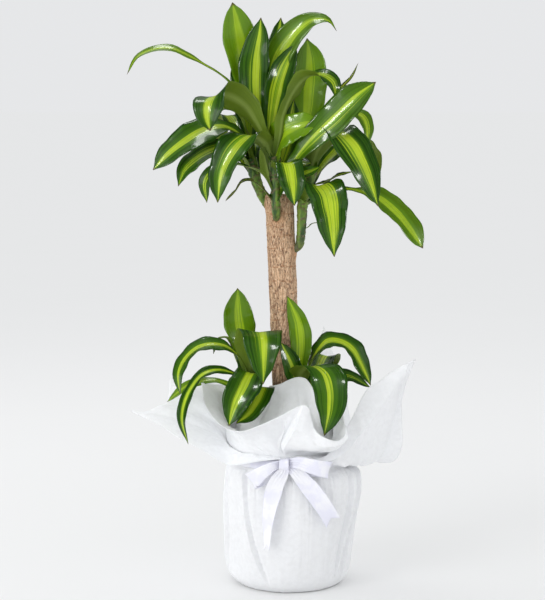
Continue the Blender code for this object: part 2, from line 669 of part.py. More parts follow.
def edge_columns(edge, count):
    """The free edge above each of count columns spaced evenly round the pot: (turn, point, curl). A sharp
    corner takes the column nearest to it."""
    line = edge_line(edge)
    found = []
    for k in range(count):
        turn = math.tau * k / count
        wanted = line[0][0] + (turn - line[0][0]) % math.tau
        i = next(i for i in range(len(line) - 1) if line[i + 1][0] >= wanted)
        span = line[i + 1][0] - line[i][0]
        share = (wanted - line[i][0]) / span if span > 0 else 0
        found.append([turn, line[i][1].lerp(line[i + 1][1], share), line[i][2]])
    for row in edge:
        if row.corner:
            place = math.atan2(row.point[1], row.point[0]) % math.tau
            found[round(place / math.tau * count) % count][1] = Vector(row.point) * MM
    return found


def flare_line(out, rim, curl, neck_r, steps):
    """From the tie up and out to a point of the free edge, curling over just inside it."""
    start = out * neck_r + Vector((0, 0, TIE_Z + NECK_HALF))
    reach = (rim - start).length
    climb = max(0.15, min(0.8, 0.35 + 0.6 * (rim.z - start.z) / reach))
    leave = start + (Vector((0, 0, climb)) + out * (0.9 - climb)) * reach * 0.35
    arrive = rim + Vector((0, 0, 1)) * curl - out * (reach * 0.30 + curl * 0.6) - Vector((0, 0, reach * 0.05))
    found = []
    for k in range(1, steps + 1):
        t = k / steps
        found.append(start * (1 - t) ** 3 + leave * 3 * t * (1 - t) ** 2 + arrive * 3 * t * t * (1 - t) + rim * t ** 3)
    return found


def body_fold(angle, share):
    """Broad soft folds down the wrapped pot, slanting, and none at the base or the tie."""
    return BODY_FOLD * math.sin(math.pi * min(1, share * 1.1)) * (
        math.sin(BODY_FOLDS * angle + 3 * share) + 0.6 * math.sin(11 * angle - 4 * share + 1))


def wrap(name, body, edge, neck_r, folds, base_z, flare_steps=FLARE_STEPS):
    """One sheet: flat under the pot, up its side, gathered at the tie, and flaring to a free edge."""
    rows = []
    for angle, rim, curl in edge_columns(edge, WRAP_COLUMNS):
        out = Vector((math.cos(angle), math.sin(angle), 0))
        line = []
        for k, (right, left, height) in enumerate(body):
            radius = (right + left) / 2 + (right - left) / 2 * math.cos(angle)
            swell = folds * body_fold(angle, k / len(body)) if k > 1 else 0
            line.append(out * (radius * MM + swell) + Vector((0, 0, height * MM)))
        line.append(out * neck_r + Vector((0, 0, TIE_Z - NECK_HALF)))
        line.append(out * neck_r + Vector((0, 0, TIE_Z + NECK_HALF)))
        rows.append(line + flare_line(out, rim, curl, neck_r, flare_steps))
    return cup_solid(name, rows, SHEET, base_z, "fleece")


def cup_solid(name, columns, thickness, base_z, finish):
    """A cup of even thickness from columns of points that start at the base and end at the free edge. The
    points give the outer face, and the inner one lies inside it."""
    count, tall = len(columns), len(columns[0])
    inner = []
    for i in range(count):
        line = []
        for k in range(tall):
            low, high = columns[i][max(k - 1, 0)], columns[i][min(k + 1, tall - 1)]
            round_way = columns[(i + 1) % count][k] - columns[i - 1][k]
            normal = round_way.cross(high - low).normalized()
            line.append(columns[i][k] - normal * thickness)
        line[0] = columns[i][0] * ((columns[i][0].xy.length - thickness) / columns[i][0].xy.length)
        line[0].z = base_z + thickness
        inner.append(line)
    vertices = [p for line in columns for p in line] + [p for line in inner for p in line]
    vertices += [Vector((0, 0, base_z)), Vector((0, 0, base_z + thickness))]
    inside = count * tall
    faces = []
    for i in range(count):
        a0, b0 = i * tall, (i + 1) % count * tall
        for k in range(tall - 1):
            a, b, c, d = a0 + k, b0 + k, b0 + k + 1, a0 + k + 1
            faces += [(a, b, c), (a, c, d)]
            faces += [(inside + c, inside + b, inside + a), (inside + d, inside + c, inside + a)]
        top_a, top_b = a0 + tall - 1, b0 + tall - 1
        faces += [(top_a, top_b, inside + top_b), (top_a, inside + top_b, inside + top_a)]
        faces += [(b0, a0, 2 * inside), (inside + a0, inside + b0, 2 * inside + 1)]
    return new_object(name, vertices, faces, finish)


def ribbon_band():
    inner_r = NECK_R + GAP
    profile = (
        (inner_r, TIE_Z - BAND_HALF), (inner_r + RIBBON, TIE_Z - BAND_HALF),
        (inner_r + RIBBON, TIE_Z + BAND_HALF), (inner_r, TIE_Z + BAND_HALF),
    )
    return turned("ribbon_band", profile, 44, "satin")


def strip(name, points, widths, sides, steps, notch=0):
    """A stretch of ribbon along a path, with its width in mm at each end and an optional notched end."""
    path = spline(in_metres(points), steps)
    rows = []
    for i, (side, upper) in enumerate(blade_frames(path, sides)):
        share = i / steps
        half = (widths[0] + (widths[1] - widths[0]) * min(1, share * 2.5)) / 2 * MM
        along = tangents(path)[i]
        row = []
        for t in (-1, 0, 1):
            back = along * notch * MM * (1 - abs(t)) if i == steps else Vector()
            row.append((path[i] + side * half * t - back, upper))
        rows.append(row)
    return solid_sheet(name, rows, RIBBON, "satin")


def rounded_block(name, middle, half, finish):
    bm = bmesh.new()
    bmesh.ops.create_uvsphere(bm, u_segments=10, v_segments=6, radius=1)
    for vertex in bm.verts:
        vertex.co = middle + Vector([math.copysign(abs(c) ** 0.7, c) * h for c, h in zip(vertex.co, half)])
    mesh = bpy.data.meshes.new(name)
    bm.to_mesh(mesh)
    bm.free()
    mesh.materials.append(material(finish))
    mesh.shade_smooth()
    obj = bpy.data.objects.new(name, mesh)
    bpy.context.scene.collection.objects.link(obj)
    return obj


def ribbon_bow():
    """The knot, two loops and two notched tails of the ribbon, tied as one."""
    knot = rounded_block("ribbon_bow", KNOT, KNOT_HALF, "satin")
    loop_right = ((-8, -92, 178), (16, -101, 182), (44, -95, 178), (54, -85, 172), (44, -84.5, 170),
                  (16, -87.5, 172), (-8, -89, 175))
    loop_left = ((-8, -92, 176), (-26, -100, 173), (-48, -93, 163), (-58, -81, 158), (-48, -82, 158),
                 (-28, -87, 166), (-8, -89, 174))
    tail_left = ((-10, -90, 172), (-26, -94, 150), (-34, -96, 122), (-36, -97, 96), (-31, -97, 68))
    tail_right = ((-4, -90, 172), (16, -94, 156), (34, -92, 134), (46, -88, 112), (54, -84, 92))
    parts = [
        strip("loop_right", loop_right, (12, RIBBON_W / MM), ((0, 0, 1),), 14),
        strip("loop_left", loop_left, (12, RIBBON_W / MM), ((0, 0, 1),), 14),
        strip("tail_left", tail_left, (14, 20), ((1, 0, 0), (1, -0.2, 0)), 8, notch=8),
        strip("tail_right", tail_right, (14, 22), ((1, 0.2, 0.3), (1, 0.4, 0.3)), 8, notch=8),
    ]
    return unite(knot, parts)


def main():
    clear_scene()
    pot()
    soil()
    cane()
    for spec in SHOOTS_ON_CANE + SHOOTS_IN_SOIL:
        shoot(spec)
    wrap("wrap_outer", OUTER_BODY, OUTER_EDGE, NECK_R, 1, 0)
    wrap("wrap_inner", INNER_BODY, INNER_EDGE, NECK_R - NECK_STEP, 0, NECK_STEP)
    wrap("wrap_lining", LINING_BODY, LINING_EDGE, NECK_R - 2 * NECK_STEP, 0, 2 * NECK_STEP, 4)
    ribbon_band()
    ribbon_bow()


main()
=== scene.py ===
"""Looks of the potted corn plant: leaves with their yellow-green bands, fissured bark, potting mix, the
nursery pot, three gathered sheets of white fleece and the satin bow, round the packed frame.

Metres, +Z up. The origin is the middle of the flat underside, and the bow looks along -Y.
"""

import math
from collections import namedtuple

import bpy
import numpy as np
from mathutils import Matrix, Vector, noise

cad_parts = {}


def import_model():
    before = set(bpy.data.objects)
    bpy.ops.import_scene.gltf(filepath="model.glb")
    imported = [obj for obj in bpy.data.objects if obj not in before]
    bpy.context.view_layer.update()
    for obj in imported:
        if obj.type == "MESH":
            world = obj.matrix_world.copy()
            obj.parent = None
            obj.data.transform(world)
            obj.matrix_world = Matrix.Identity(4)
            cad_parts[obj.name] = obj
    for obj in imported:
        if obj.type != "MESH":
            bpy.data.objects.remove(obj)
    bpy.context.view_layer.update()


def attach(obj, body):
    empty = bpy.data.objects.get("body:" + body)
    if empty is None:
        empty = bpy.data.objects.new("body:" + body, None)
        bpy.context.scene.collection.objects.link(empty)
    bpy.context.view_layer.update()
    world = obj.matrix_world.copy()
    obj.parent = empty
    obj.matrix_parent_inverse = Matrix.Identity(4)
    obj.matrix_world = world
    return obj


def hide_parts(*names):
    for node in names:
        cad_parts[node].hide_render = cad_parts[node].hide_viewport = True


bl_info = {
    "name": "Potted Corn Plant",
    "version": (1, 0, 0),
    "blender": (4, 5, 0),
    "location": "3D View > Sidebar > Corn Plant",
    "description": "Dresses a potted corn plant: leaves, bark, soil, pot, gathered fleece and satin bow",
    "category": "Add Mesh",
}

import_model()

MM = 0.001

# Parts that a curve is cut into between two of its given points.
CURVE_PARTS = 24

# The nursery pot and its soil.
POT_BASE_R = 56 * MM
POT_TOP_R = 72 * MM
POT_RIM_R = 75.5 * MM
POT_RIM_DROP = 14 * MM
POT_TOP_Z = 165 * MM
POT_WALL = 1.4 * MM
POT_BASE_Z = 4.05 * MM
POT_FLOOR = 2.6 * MM
POT_SIDES = 120
SOIL_TOP_Z = 151 * MM
SOIL_TOP_R = 69.4 * MM
SOIL_LUMP = 1.8 * MM

# The cane, and where its shoots break through the bark.
CANE_R = 18.5 * MM
CANE_FOOT = Vector((3, 3, 70)) * MM
CANE_TOP = Vector((-14, 0, 516)) * MM
CANE_SIDES = 150
CANE_RINGS = 330
BURIED_RINGS = 12
COLLARS = ((-17, -19, 488), (8, -5, 441), (-31, 4, 503))
COLLAR_REACH = 9 * MM
COLLAR_SWELL = 2.2 * MM

# The sheets: where they are tied, and how far they reach up the outside of the wrapped pot.
TIE_Z = 172 * MM
NECK_HALF = 8 * MM
NECK_R = 80.6 * MM
NECK_STEP = 1.35 * MM
# The bow draws the cloth together towards this turn, by this share where it is near.
DRAWN_TURN = math.radians(-98.5)
DRAWN_REACH = math.radians(34)
DRAWN_SHARE = 0.92
# Rows are (radius on the right, radius on the left, height) in mm: the fleece sags fuller on the left.
OUTER_BODY = ((63, 64, 0), (69, 71, 3), (77, 82.5, 16), (83, 85, 48), (89.5, 86, 94), (93, 85.5, 128),
              (91, 84.5, 148), (85.5, 82.5, 160))
INNER_BODY = ((59.5, 59.5, 1.4), (72.5, 72.5, 30), (79, 79, 140))
LINING_BODY = ((58, 58, 2.8), (71, 71, 40), (77, 77, 138))

# The gathers at the tie: they open over the first distance and die out over the second.
GATHER_Z = TIE_Z - 6 * MM
GATHER_OPENS = 14 * MM
GATHER_DIES = 42 * MM
# Wide folds down the side of the wrapped pot, and soft ones in the part that flares out above the tie.
BROAD_FOLD = 6.5 * MM
FOLD_FADES = 30 * MM
SOFT_FOLD = 3.2 * MM
# Rows of a sheet's mesh: flat under the pot, up its side, drawn in to the neck, and out to the free edge.
BASE_RINGS = 6
BODY_STEPS = 50
NECK_STEPS = 8
FLARE_STEPS = 48
BODY_START = BASE_RINGS - 1
NECK_START = BODY_START + BODY_STEPS + 1
FLARE_START = NECK_START + NECK_STEPS
SHEET_CREASE = math.radians(42)

# The ribbon, and how many vertices lie across it.
BAND_HALF = 6.5 * MM
RIBBON_W = 24 * MM
RIBBON_COLUMNS = 15

# Leaf blades: fold of the two halves along the midrib, and waves along each edge.
FOLD_ROOT = math.radians(38)
FOLD_BLADE = math.radians(10)
FOLD_OPENS = 0.32
WAVE = 3.2 * MM
WAVES = 2.6
RIPPLE = 0.9 * MM
RIPPLES = 9
# Each leaf's waves start further on than the last one's, and those of its right half after its left.
LEAF_SHIFT = 1.7
HALF_SHIFT = 2.2
# Width in mm from which a leaf waves in full.
FULL_WAVE_WIDTH = 40
# How the outline swells: share of the width, swells along the leaf, and how the two shifts count.
SWELLS = ((0.05, 1.7, 5, 1), (0.022, 5.3, 2, 3))
LEAST_WIDTH = 0.012
# The midrib beneath a leaf: its height, and its width as a share of half the leaf.
RIB_HEIGHT = 0.9 * MM
RIB_WIDTH = 0.10
# How many vertices lie across a leaf, and across one that is narrower than this width in mm.
BLADE_COLUMNS = 13
NARROW_COLUMNS = 7
NARROW_WIDTH = 15
# Each leaf of a shoot gets its own share for chance, stepped on by this.
CHANCE_STEP = 0.618
# The band down a leaf, in shares of half its width: how far off the midrib it may lie, how ragged broad and
# fine streaks make its edges, how soft they are, and how its width differs from leaf to leaf.
BAND_OFF = 0.14
BAND_RAGGED = (("broad", 0.80), ("fine", 0.60))
BAND_SOFT = 0.13
BAND_LEAST, BAND_SPREAD = 0.85, 0.45

# Sheaths of old leaves round a stem, one above the other.
SHEATH_GAP = 12 * MM
SHEATH_STEP = 1.1 * MM
STEM_STEPS = 100
STEM_SIDES = 28

# Share of a leaf's full width, from its root to its tip, for a leaf that is widest at PEAK of its length.
PEAK = 0.6
BLADE_OUTLINE = ((0, 0.42), (0.15, 0.40), (0.36, 0.72), (0.6, 1.0), (0.8, 0.84), (0.92, 0.46), (0.97, 0.16),
                 (1, 0.02))

# A leaf: where it leaves its stem (0 root, 1 growing tip), its width in mm, the share of its length at
# which it is widest, the points in mm that its midrib passes with its tip last, the ways in which its
# width runs from root to tip, or None for a leaf that arches straight out, how far it has dried, and how
# much painted light brightens its colour, as of light shining through the blade.
Leaf = namedtuple("Leaf", "at width peak midrib sides dry lit", defaults=(0.0, 0.0))
# A shoot: its stem's points in mm, the stem's radius in mm at root and tip, its leaves, and how wide their
# bands are beside those of the others.
Shoot = namedtuple("Shoot", "name stem radii leaves band", defaults=(1.0,))

RIGHTWARD = (1, 0, 0)
LEFTWARD = (-1, 0, 0)

CROWN_FRONT = Shoot(
    "crown_shoot_front",
    ((-17, -12, 483), (-18, -24, 492), (-19, -27, 530), (-20, -22, 566)),
    (4.8, 8.2),
    (
        Leaf(0.75, 50, 0.70, ((-35, -26, 594), (-45, -27, 613), (-57, -30, 631), (-74, -38, 643),
                              (-92, -50, 646), (-102, -60, 637), (-105, -66, 621), (-102, -69, 600)),
             ((-1, 0.2, 0), (-0.8, 0.5, -0.3), (-0.7, 0.6, -0.6), (-0.9, 0.2, -0.5), (-1, 0, 0))),
        Leaf(0.95, 36, 0.66, ((-14, -34, 590), (-9, -34, 621), (4, -30, 650), (21, -26, 668), (39, -24, 671),
                              (55, -26, 662), (58, -28, 642)),
             ((-1, -0.3, 0), (-0.6, -1, 0), (-1, -0.6, -0.2))),
        Leaf(0.90, 47, 0.72, ((-34, 8, 600), (-45, 12, 626), (-57, 13, 671), (-65, 12, 716), (-75, 4, 765)),
             ((1, 0.2, 0),), 0, 0.8),
        Leaf(1.00, 40, 0.62, ((-36, -12, 600), (-46, -10, 640), (-46, -8, 690), (-40, -8, 728),
                              (-38, -8, 745)),
             (RIGHTWARD,)),
        Leaf(1.00, 34, 0.64, ((-20, 12, 620), (-18, 30, 690), (-12, 34, 747)), (RIGHTWARD,)),
        Leaf(0.92, 41, 0.50, ((-24, 8, 630), (-23, 8, 662), (-16, 8, 696), (-3, 6, 716), (12, 4, 732),
                              (31, 2, 743), (50, 0, 741), (60, -2, 728)),
             ((1, 0.3, 0), (1, -0.2, -0.3), (0, -0.7, -0.7)), 0, 0.4),
        Leaf(0.98, 36, 0.60, ((-25, -16, 600), (-22, -12, 626), (-14, -8, 664), (-3, -2, 692), (8, 2, 712)),
             ((1, 0.3, 0),)),
        Leaf(0.70, 42, 0.58, ((-14, -28, 588), (-4, -34, 600), (9, -38, 606), (23, -40, 610), (37, -40, 611)),
             ((0.3, -0.4, -0.9), (0.1, -0.4, -1)), 0, 0.9),
        Leaf(0.50, 36, 0.55, ((-12, -38, 556), (-3, -54, 558), (2, -62, 538), (5, -64, 505)),
             (LEFTWARD,)),
        Leaf(0.72, 42, 0.55, ((-34, -26, 584), (-52, -40, 594), (-66, -52, 586), (-80, -58, 569),
                              (-89, -62, 548), (-93, -62, 509)),
             ((-1, 0.3, 0),)),
        Leaf(0.42, 22, 0.62, ((-38, -32, 546), (-64, -36, 556), (-90, -36, 555), (-109, -32, 536),
                              (-108, -30, 507)),
             ((0, 1, 0), (-0.5, 1, 0), (-1, 0.3, 0))),
        Leaf(0.40, 46, 0.68, ((10, -38, 568), (32, -45, 594), (60, -48, 620), (90, -48, 648),
                              (109, -44, 662)),
             ((0.6, -0.5, -0.8),), 0, 0.2),
        Leaf(0.60, 24, 0.55, ((0, -42, 540), (16, -46, 544), (39, -48, 554)), ((0, -0.8, -0.6),)),
        Leaf(0.66, 34, 0.60, ((0, -26, 550), (14, -26, 556), (28, -26, 558)), ((0.2, -0.8, -0.6),)),
        Leaf(0.95, 40, 0.60, ((-14, 20, 620), (-10, 50, 680), (-8, 80, 712)), (RIGHTWARD,)),
        Leaf(0.60, 32, 0.50, ((-12, -12, 556), (-6, -2, 576), (0, 4, 606), (5, 8, 640)), (RIGHTWARD,)),
        Leaf(0.30, 13, 0.78, ((-41, -33, 530), (-52, -32, 537), (-62, -32, 534), (-71, -32, 522),
                              (-84, -32, 509)),
             ((0, 1, 0.3),), 0.5),
    ),
)

CROWN_LEFT = Shoot(
    "crown_shoot_left",
    ((-25, 2, 497), (-33, 5, 508), (-42, 8, 528), (-52, 12, 562)),
    (5.6, 8.6),
    (
        Leaf(0.95, 17, 0.75, ((-62, 24, 610), (-80, 28, 662), (-114, 22, 686), (-136, 18, 698),
                              (-157, 16, 706), (-180, 14, 704), (-198, 12, 696), (-213, 8, 672)),
             ((0, 1, 0.1), (0, 1, 0.5), (-0.3, 1, 0.6)), 0.08, 0.7),
        Leaf(0.85, 44, 0.62, ((-62, 0, 590), (-85, -12, 604), (-113, -26, 599), (-133, -36, 587),
                              (-152, -42, 573), (-176, -48, 550)),
             ((-0.3, 1, 0.2), (-0.3, 0.6, 0.6), (-0.5, 0.5, 0.7))),
        Leaf(0.60, 34, 0.60, ((-66, 2, 568), (-85, -10, 578), (-104, -18, 573), (-123, -24, 562),
                              (-136, -28, 550), (-145, -28, 528)),
             ((-0.3, 1, 0.3), (-0.3, 0.7, 0.6), (-0.5, 0.6, 0.6))),
        Leaf(0.90, 28, 0.60, ((-58, 20, 600), (-70, 24, 622), (-88, 16, 628), (-106, 4, 598)),
             ((-0.3, 1, 0.2),)),
        Leaf(0.80, 42, 0.60, ((-64, 34, 590), (-82, 70, 618), (-96, 108, 606), (-104, 132, 560)), None),
        Leaf(0.65, 40, 0.60, ((-48, 40, 575), (-40, 80, 590), (-32, 118, 572), (-28, 138, 525)), None),
        Leaf(0.50, 36, 0.60, ((-66, 28, 560), (-92, 56, 578), (-116, 78, 572), (-130, 92, 545)), None),
        Leaf(1.00, 38, 0.60, ((-56, 24, 610), (-62, 46, 656), (-72, 64, 694)), ((1, 0.2, 0),)),
    ),
)

CROWN_RIGHT = Shoot(
    "crown_shoot_right",
    ((2, -4, 442), (11, -6, 449), (14.5, -7, 466), (16, -7, 500), (28, -2, 550)),
    (5.2, 8.6),
    (
        Leaf(0.85, 47, 0.50, ((35, -14, 576), (47, -26, 592), (61, -38, 596), (76, -47, 584), (90, -54, 560),
                              (102, -58, 532), (112, -60, 504)),
             ((-1, -0.2, 0), (-1, -0.3, 0), (-0.9, -0.2, -0.4))),
        Leaf(1.00, 51, 0.62, ((20, 10, 598), (23, 16, 640), (25, 17, 675), (24, 14, 703), (22, 10, 719)),
             (RIGHTWARD,), 0, 0.8),
        Leaf(0.95, 36, 0.60, ((48, 14, 584), (68, 22, 611), (84, 25, 622), (95, 22, 617), (101, 18, 602),
                              (98, 14, 578)),
             ((-0.3, -1, 0), (-0.7, -0.7, 0)), 0, 0.4),
        Leaf(0.55, 40, 0.74, ((44, 5, 514), (73, 9, 523), (96, 6, 519), (117, 2, 512), (135, -2, 498),
                              (156, -6, 474), (174, -8, 446)),
             ((0, -1, -0.2), (-0.2, -0.7, -0.5), (-0.3, -0.5, -0.8)), 0, 0.55),
        Leaf(0.60, 49, 0.42, ((23, -26, 514), (36, -46, 530), (45, -58, 522), (51, -64, 496), (56, -66, 440)),
             (LEFTWARD,)),
        Leaf(0.80, 12, 0.60, ((46, 2, 532), (64, 4, 541), (84, 6, 546)), ((0, -1, -0.3),), 0.3),
        Leaf(0.95, 6, 0.60, ((46, 26, 608), (68, 30, 656), (81, 30, 670), (90, 30, 688)), (RIGHTWARD,), 0.4),
        Leaf(0.30, 5, 0.60, ((23, -12, 474), (29, -13, 479), (38, -13, 480)), ((0, -1, 0),), 0.3),
        Leaf(0.90, 44, 0.60, ((42, 42, 600), (48, 88, 632), (52, 126, 618), (56, 146, 572)), None),
        Leaf(0.70, 42, 0.60, ((56, 34, 565), (86, 66, 585), (108, 92, 570), (120, 106, 530)), None),
        Leaf(0.60, 38, 0.60, ((30, 36, 550), (20, 76, 566), (14, 108, 550), (10, 124, 510)), None),
    ),
)

LOW_LEFT = Shoot(
    "low_shoot_left",
    ((-40, -8, 128), (-42, -9, 150), (-46, -11, 210), (-51, -13, 268)),
    (6.0, 5.4),
    (
        Leaf(0.95, 41, 0.64, ((-56, -6, 294), (-63, -2, 324), (-68, 0, 356), (-69, -2, 393)),
             ((1, 0.2, 0),), 0, 0.6),
        Leaf(1.00, 57, 0.45, ((-47, -34, 316), (-40, -52, 341), (-37, -68, 335), (-35, -82, 308),
                              (-35, -90, 279)),
             (LEFTWARD,)),
        Leaf(0.90, 31, 0.70, ((-68, -14, 304), (-84, -14, 317), (-102, -14, 320), (-120, -16, 316),
                              (-135, -20, 304), (-145, -24, 285), (-144, -26, 256)),
             ((0, 1, 0.3), (0, 0.9, 0.6), (-0.6, 0.8, 0.2))),
        Leaf(0.80, 21, 0.60, ((-75, -36, 285), (-97, -44, 290), (-114, -52, 285), (-126, -60, 272),
                              (-136, -70, 252), (-139, -78, 233), (-131, -84, 200)),
             ((0, 1, 0.3), (-0.2, 0.9, 0.5), (-0.8, 0.6, 0.1))),
        Leaf(0.85, 45, 0.55, ((-49, -34, 280), (-51, -52, 287), (-61, -70, 270), (-71, -80, 249),
                              (-79, -84, 224)),
             ((-1, 0.3, 0), (-0.9, 0.3, 0.4))),
        Leaf(0.70, 36, 0.55, ((-40, -30, 264), (-37, -46, 268), (-43, -60, 254), (-54, -69, 238),
                              (-70, -73, 225)),
             ((-1, 0.2, 0), (-0.9, 0.3, 0.4))),
        Leaf(0.92, 20, 0.60, ((-66, 8, 305), (-82, 16, 326), (-96, 20, 324), (-102, 22, 302)),
             ((-0.3, -1, 0), (-0.6, -0.9, 0))),
        Leaf(0.60, 14, 0.70, ((-72, 2, 258), (-100, 12, 268), (-134, 10, 262), (-163, 0, 241)),
             ((0, 1, 0.4), (-0.3, 0.7, 0.9)), 0, 0.9),
        Leaf(0.75, 38, 0.60, ((-56, 24, 288), (-58, 56, 302), (-60, 80, 290), (-62, 96, 266)), None),
    ),
    0.6,
)

LOW_RIGHT = Shoot(
    "low_shoot_right",
    ((17, -26, 128), (17, -26, 150), (16, -25, 210), (14, -24, 264)),
    (6.0, 5.4),
    (
        Leaf(0.95, 29, 0.52, ((13, -22, 295), (14, -20, 324), (11, -19, 350), (3, -20, 370), (-4, -22, 385)),
             (RIGHTWARD,), 0, 0.6),
        Leaf(0.90, 38, 0.68, ((27, -18, 295), (37, -17, 313), (50, -15, 325), (68, -14, 323), (82, -15, 313),
                              (91, -16, 298), (99, -17, 282), (106, -18, 266)),
             ((-0.2, -1, -0.3), (0, -0.8, -0.6), (-0.6, -0.8, -0.3))),
        Leaf(0.85, 48, 0.52, ((16, -38, 288), (31, -57, 297), (46, -74, 289), (52, -86, 269), (51, -92, 246),
                              (43, -94, 213)),
             ((-1, -0.3, 0), LEFTWARD)),
        Leaf(0.60, 28, 0.60, ((40, -8, 270), (74, -2, 276), (107, 4, 260)), ((0, -0.8, -0.6),)),
        Leaf(0.75, 26, 0.60, ((4, -32, 290), (-12, -31, 325)), ((1, 0.3, 0),)),
        Leaf(0.70, 38, 0.60, ((36, -4, 276), (48, 28, 298), (54, 52, 292), (58, 68, 270)), None),
    ),
    0.6,
)

SHOOTS = (CROWN_FRONT, CROWN_LEFT, CROWN_RIGHT, LOW_LEFT, LOW_RIGHT)

# Each sheet's free edge, anticlockwise from the right: a point in mm, how far the cloth curls up and over
# just inside it, in mm, whether the edge turns a sharp corner there, a point that the cloth passes on its
# way up from the tie, and a point at which it folds over before it reaches the edge.
Edge = namedtuple("Edge", "point curl corner via fold", defaults=(0, False, None, None))
OUTER_EDGE = (
    Edge((166, -6, 299), 0, True, (106, 2, 166)),
    Edge((158, 4, 276), via=(105, 8, 164)),
    Edge((154, 14, 259), via=(104, 13, 162)),
    Edge((150, 22, 235), via=(103, 18, 160)),
    Edge((152, 34, 201), via=(102, 24, 159)),
    Edge((153, 42, 182), via=(101, 30, 158)),
    Edge((151, 48, 166), via=(99, 34, 157)),
    Edge((144, 54, 152), via=(97, 40, 157)),
    Edge((131, 59, 147), via=(94, 46, 158)),
    Edge((112, 66, 150), via=(89, 54, 160)),
    Edge((96, 76, 166), via=(82, 64, 168)),
    Edge((84, 88, 204)),
    Edge((70, 98, 262)),
    Edge((48, 108, 328), 0, True),
    Edge((20, 112, 262), 4),
    Edge((-14, 116, 232), 8),
    Edge((-60, 112, 230), 8),
    Edge((-110, 94, 246), 4),
    Edge((-162, 56, 264), 0, True),
    Edge((-164, 24, 238), 4),
    Edge((-176, 6, 234), 3),
    Edge((-192, -8, 229), 2),
    Edge((-210, -22, 233), 0, True),
    Edge((-169, -38, 216)),
    Edge((-146, -50, 203)),
    Edge((-112, -64, 188)),
    Edge((-99, -66, 179)),
    Edge((-84, -62, 170)),
    Edge((-74, -70, 170)),
    Edge((-57, -80, 174)),
    Edge((-36, -88, 179)),
    Edge((-8, -90, 182)),
    Edge((14, -90, 183)),
    Edge((38, -86, 183), via=(34, -86, 180), fold=(42, -92, 180)),
    Edge((52, -78, 190), via=(48, -80, 175), fold=(57, -87, 181)),
    Edge((64, -68, 204), via=(62, -73, 171.5), fold=(71, -79, 190)),
    Edge((78, -56, 226), via=(76, -62, 168), fold=(86, -69, 204)),
    Edge((90, -44, 248), via=(87, -48, 166), fold=(97, -59, 217)),
    Edge((102, -32, 265), via=(95, -34, 164), fold=(110, -46, 231)),
    Edge((117, -24, 273), via=(101, -23, 162), fold=(123, -36, 245)),
    Edge((131, -19, 283), via=(104, -14, 163), fold=(135, -27, 261)),
    Edge((144, -14, 289), via=(105, -8, 164), fold=(146, -18, 276)),
    Edge((155, -10, 294), via=(106, -3, 165), fold=(155, -12, 287)),
)
INNER_EDGE = (
    Edge((74, 0, 250), 2),
    Edge((72, 28, 248), 2),
    Edge((62, 52, 242), 2),
    Edge((40, 70, 238), 2),
    Edge((0, 82, 236), 3),
    Edge((-44, 80, 242), 4),
    Edge((-80, 62, 252), 4),
    Edge((-98, 44, 258), 4),
    Edge((-112, 18, 263), 4),
    Edge((-117, -10, 268), 3, True),
    Edge((-115, -26, 258), 5),
    Edge((-112, -42, 247), 6),
    Edge((-105, -56, 237), 6),
    Edge((-96, -70, 228), 6),
    Edge((-86, -82, 222), 6),
    Edge((-74, -92, 219), 6),
    Edge((-61, -101, 220), 6),
    Edge((-46, -108, 226), 5),
    Edge((-29, -113, 234), 4),
    Edge((-11, -114, 243), 3),
    Edge((3, -113, 251), 2, via=(-15, -90, 198), fold=(-7, -98, 226)),
    Edge((13, -112, 255.5), 0, via=(-13, -86, 196), fold=(1, -96, 226)),
    Edge((15.5, -112, 256), 0, via=(-9, -105, 200), fold=(4, -117, 225)),
    Edge((20, -111, 255), 0, via=(0, -109, 202), fold=(11, -118, 224)),
    Edge((24, -109, 251), 0, via=(8, -111, 203), fold=(17, -118, 222)),
    Edge((26, -105, 241), 0, via=(14, -112, 202), fold=(21, -117, 216)),
    Edge((28, -106, 231), 0, via=(20, -112, 201), fold=(26, -119, 211)),
    Edge((31.5, -110, 223), 0, False, (27, -112, 200), (31, -120, 206)),
    Edge((39, -114, 216.5), 0, False, (36, -112, 198), (41, -121, 203)),
    Edge((50, -115, 212), 0, False, (46, -108, 197), (53, -120, 203)),
    Edge((60, -109, 209.5), 0, False, (54, -100, 197), (61, -113, 204)),
    Edge((69, -99, 214), 0, False, (60, -90, 198), (69, -103, 208)),
    Edge((72, -91, 221), 2, False, (62, -82, 200), (73, -93, 213)),
    Edge((69, -80, 229), 3),
    Edge((68, -68, 236), 3),
    Edge((70, -50, 244), 2),
    Edge((73, -26, 249), 2),
)
LINING_EDGE = (
    Edge((70, 0, 222)),
    Edge((64, 32, 218)),
    Edge((44, 58, 212)),
    Edge((8, 72, 210)),
    Edge((-34, 66, 212)),
    Edge((-62, 42, 216)),
    Edge((-74, 6, 220)),
    Edge((-74, -28, 224)),
    Edge((-64, -42, 228)),
    Edge((-50, -46, 232)),
    Edge((-38, -42, 244)),
    Edge((-27, -42, 269), 0, True),
    Edge((-14, -45, 272)),
    Edge((0, -49, 279)),
    Edge((10, -51, 282)),
    Edge((19, -54, 281)),
    Edge((25, -56, 275)),
    Edge((31, -59, 264)),
    Edge((37, -64, 246)),
    Edge((43, -62, 228)),
    Edge((58, -44, 222)),
)

# A sheet: its name and its node, the side of its square in metres, its way up the pot, its free edge, its
# layer from outside in, how much of the body's folds it shows, and how many vertices lie round the pot.
Sheet = namedtuple("Sheet", "name node side body edge layer full columns")
SHEETS = (
    Sheet("fleece_outer", "wrap_outer", 0.48, OUTER_BODY, OUTER_EDGE, 0, 1.0, 400),
    Sheet("fleece_inner", "wrap_inner", 0.42, INNER_BODY, INNER_EDGE, 1, 0.5, 260),
    Sheet("fleece_lining", "wrap_lining", 0.38, LINING_BODY, LINING_EDGE, 2, 0.4, 220),
)

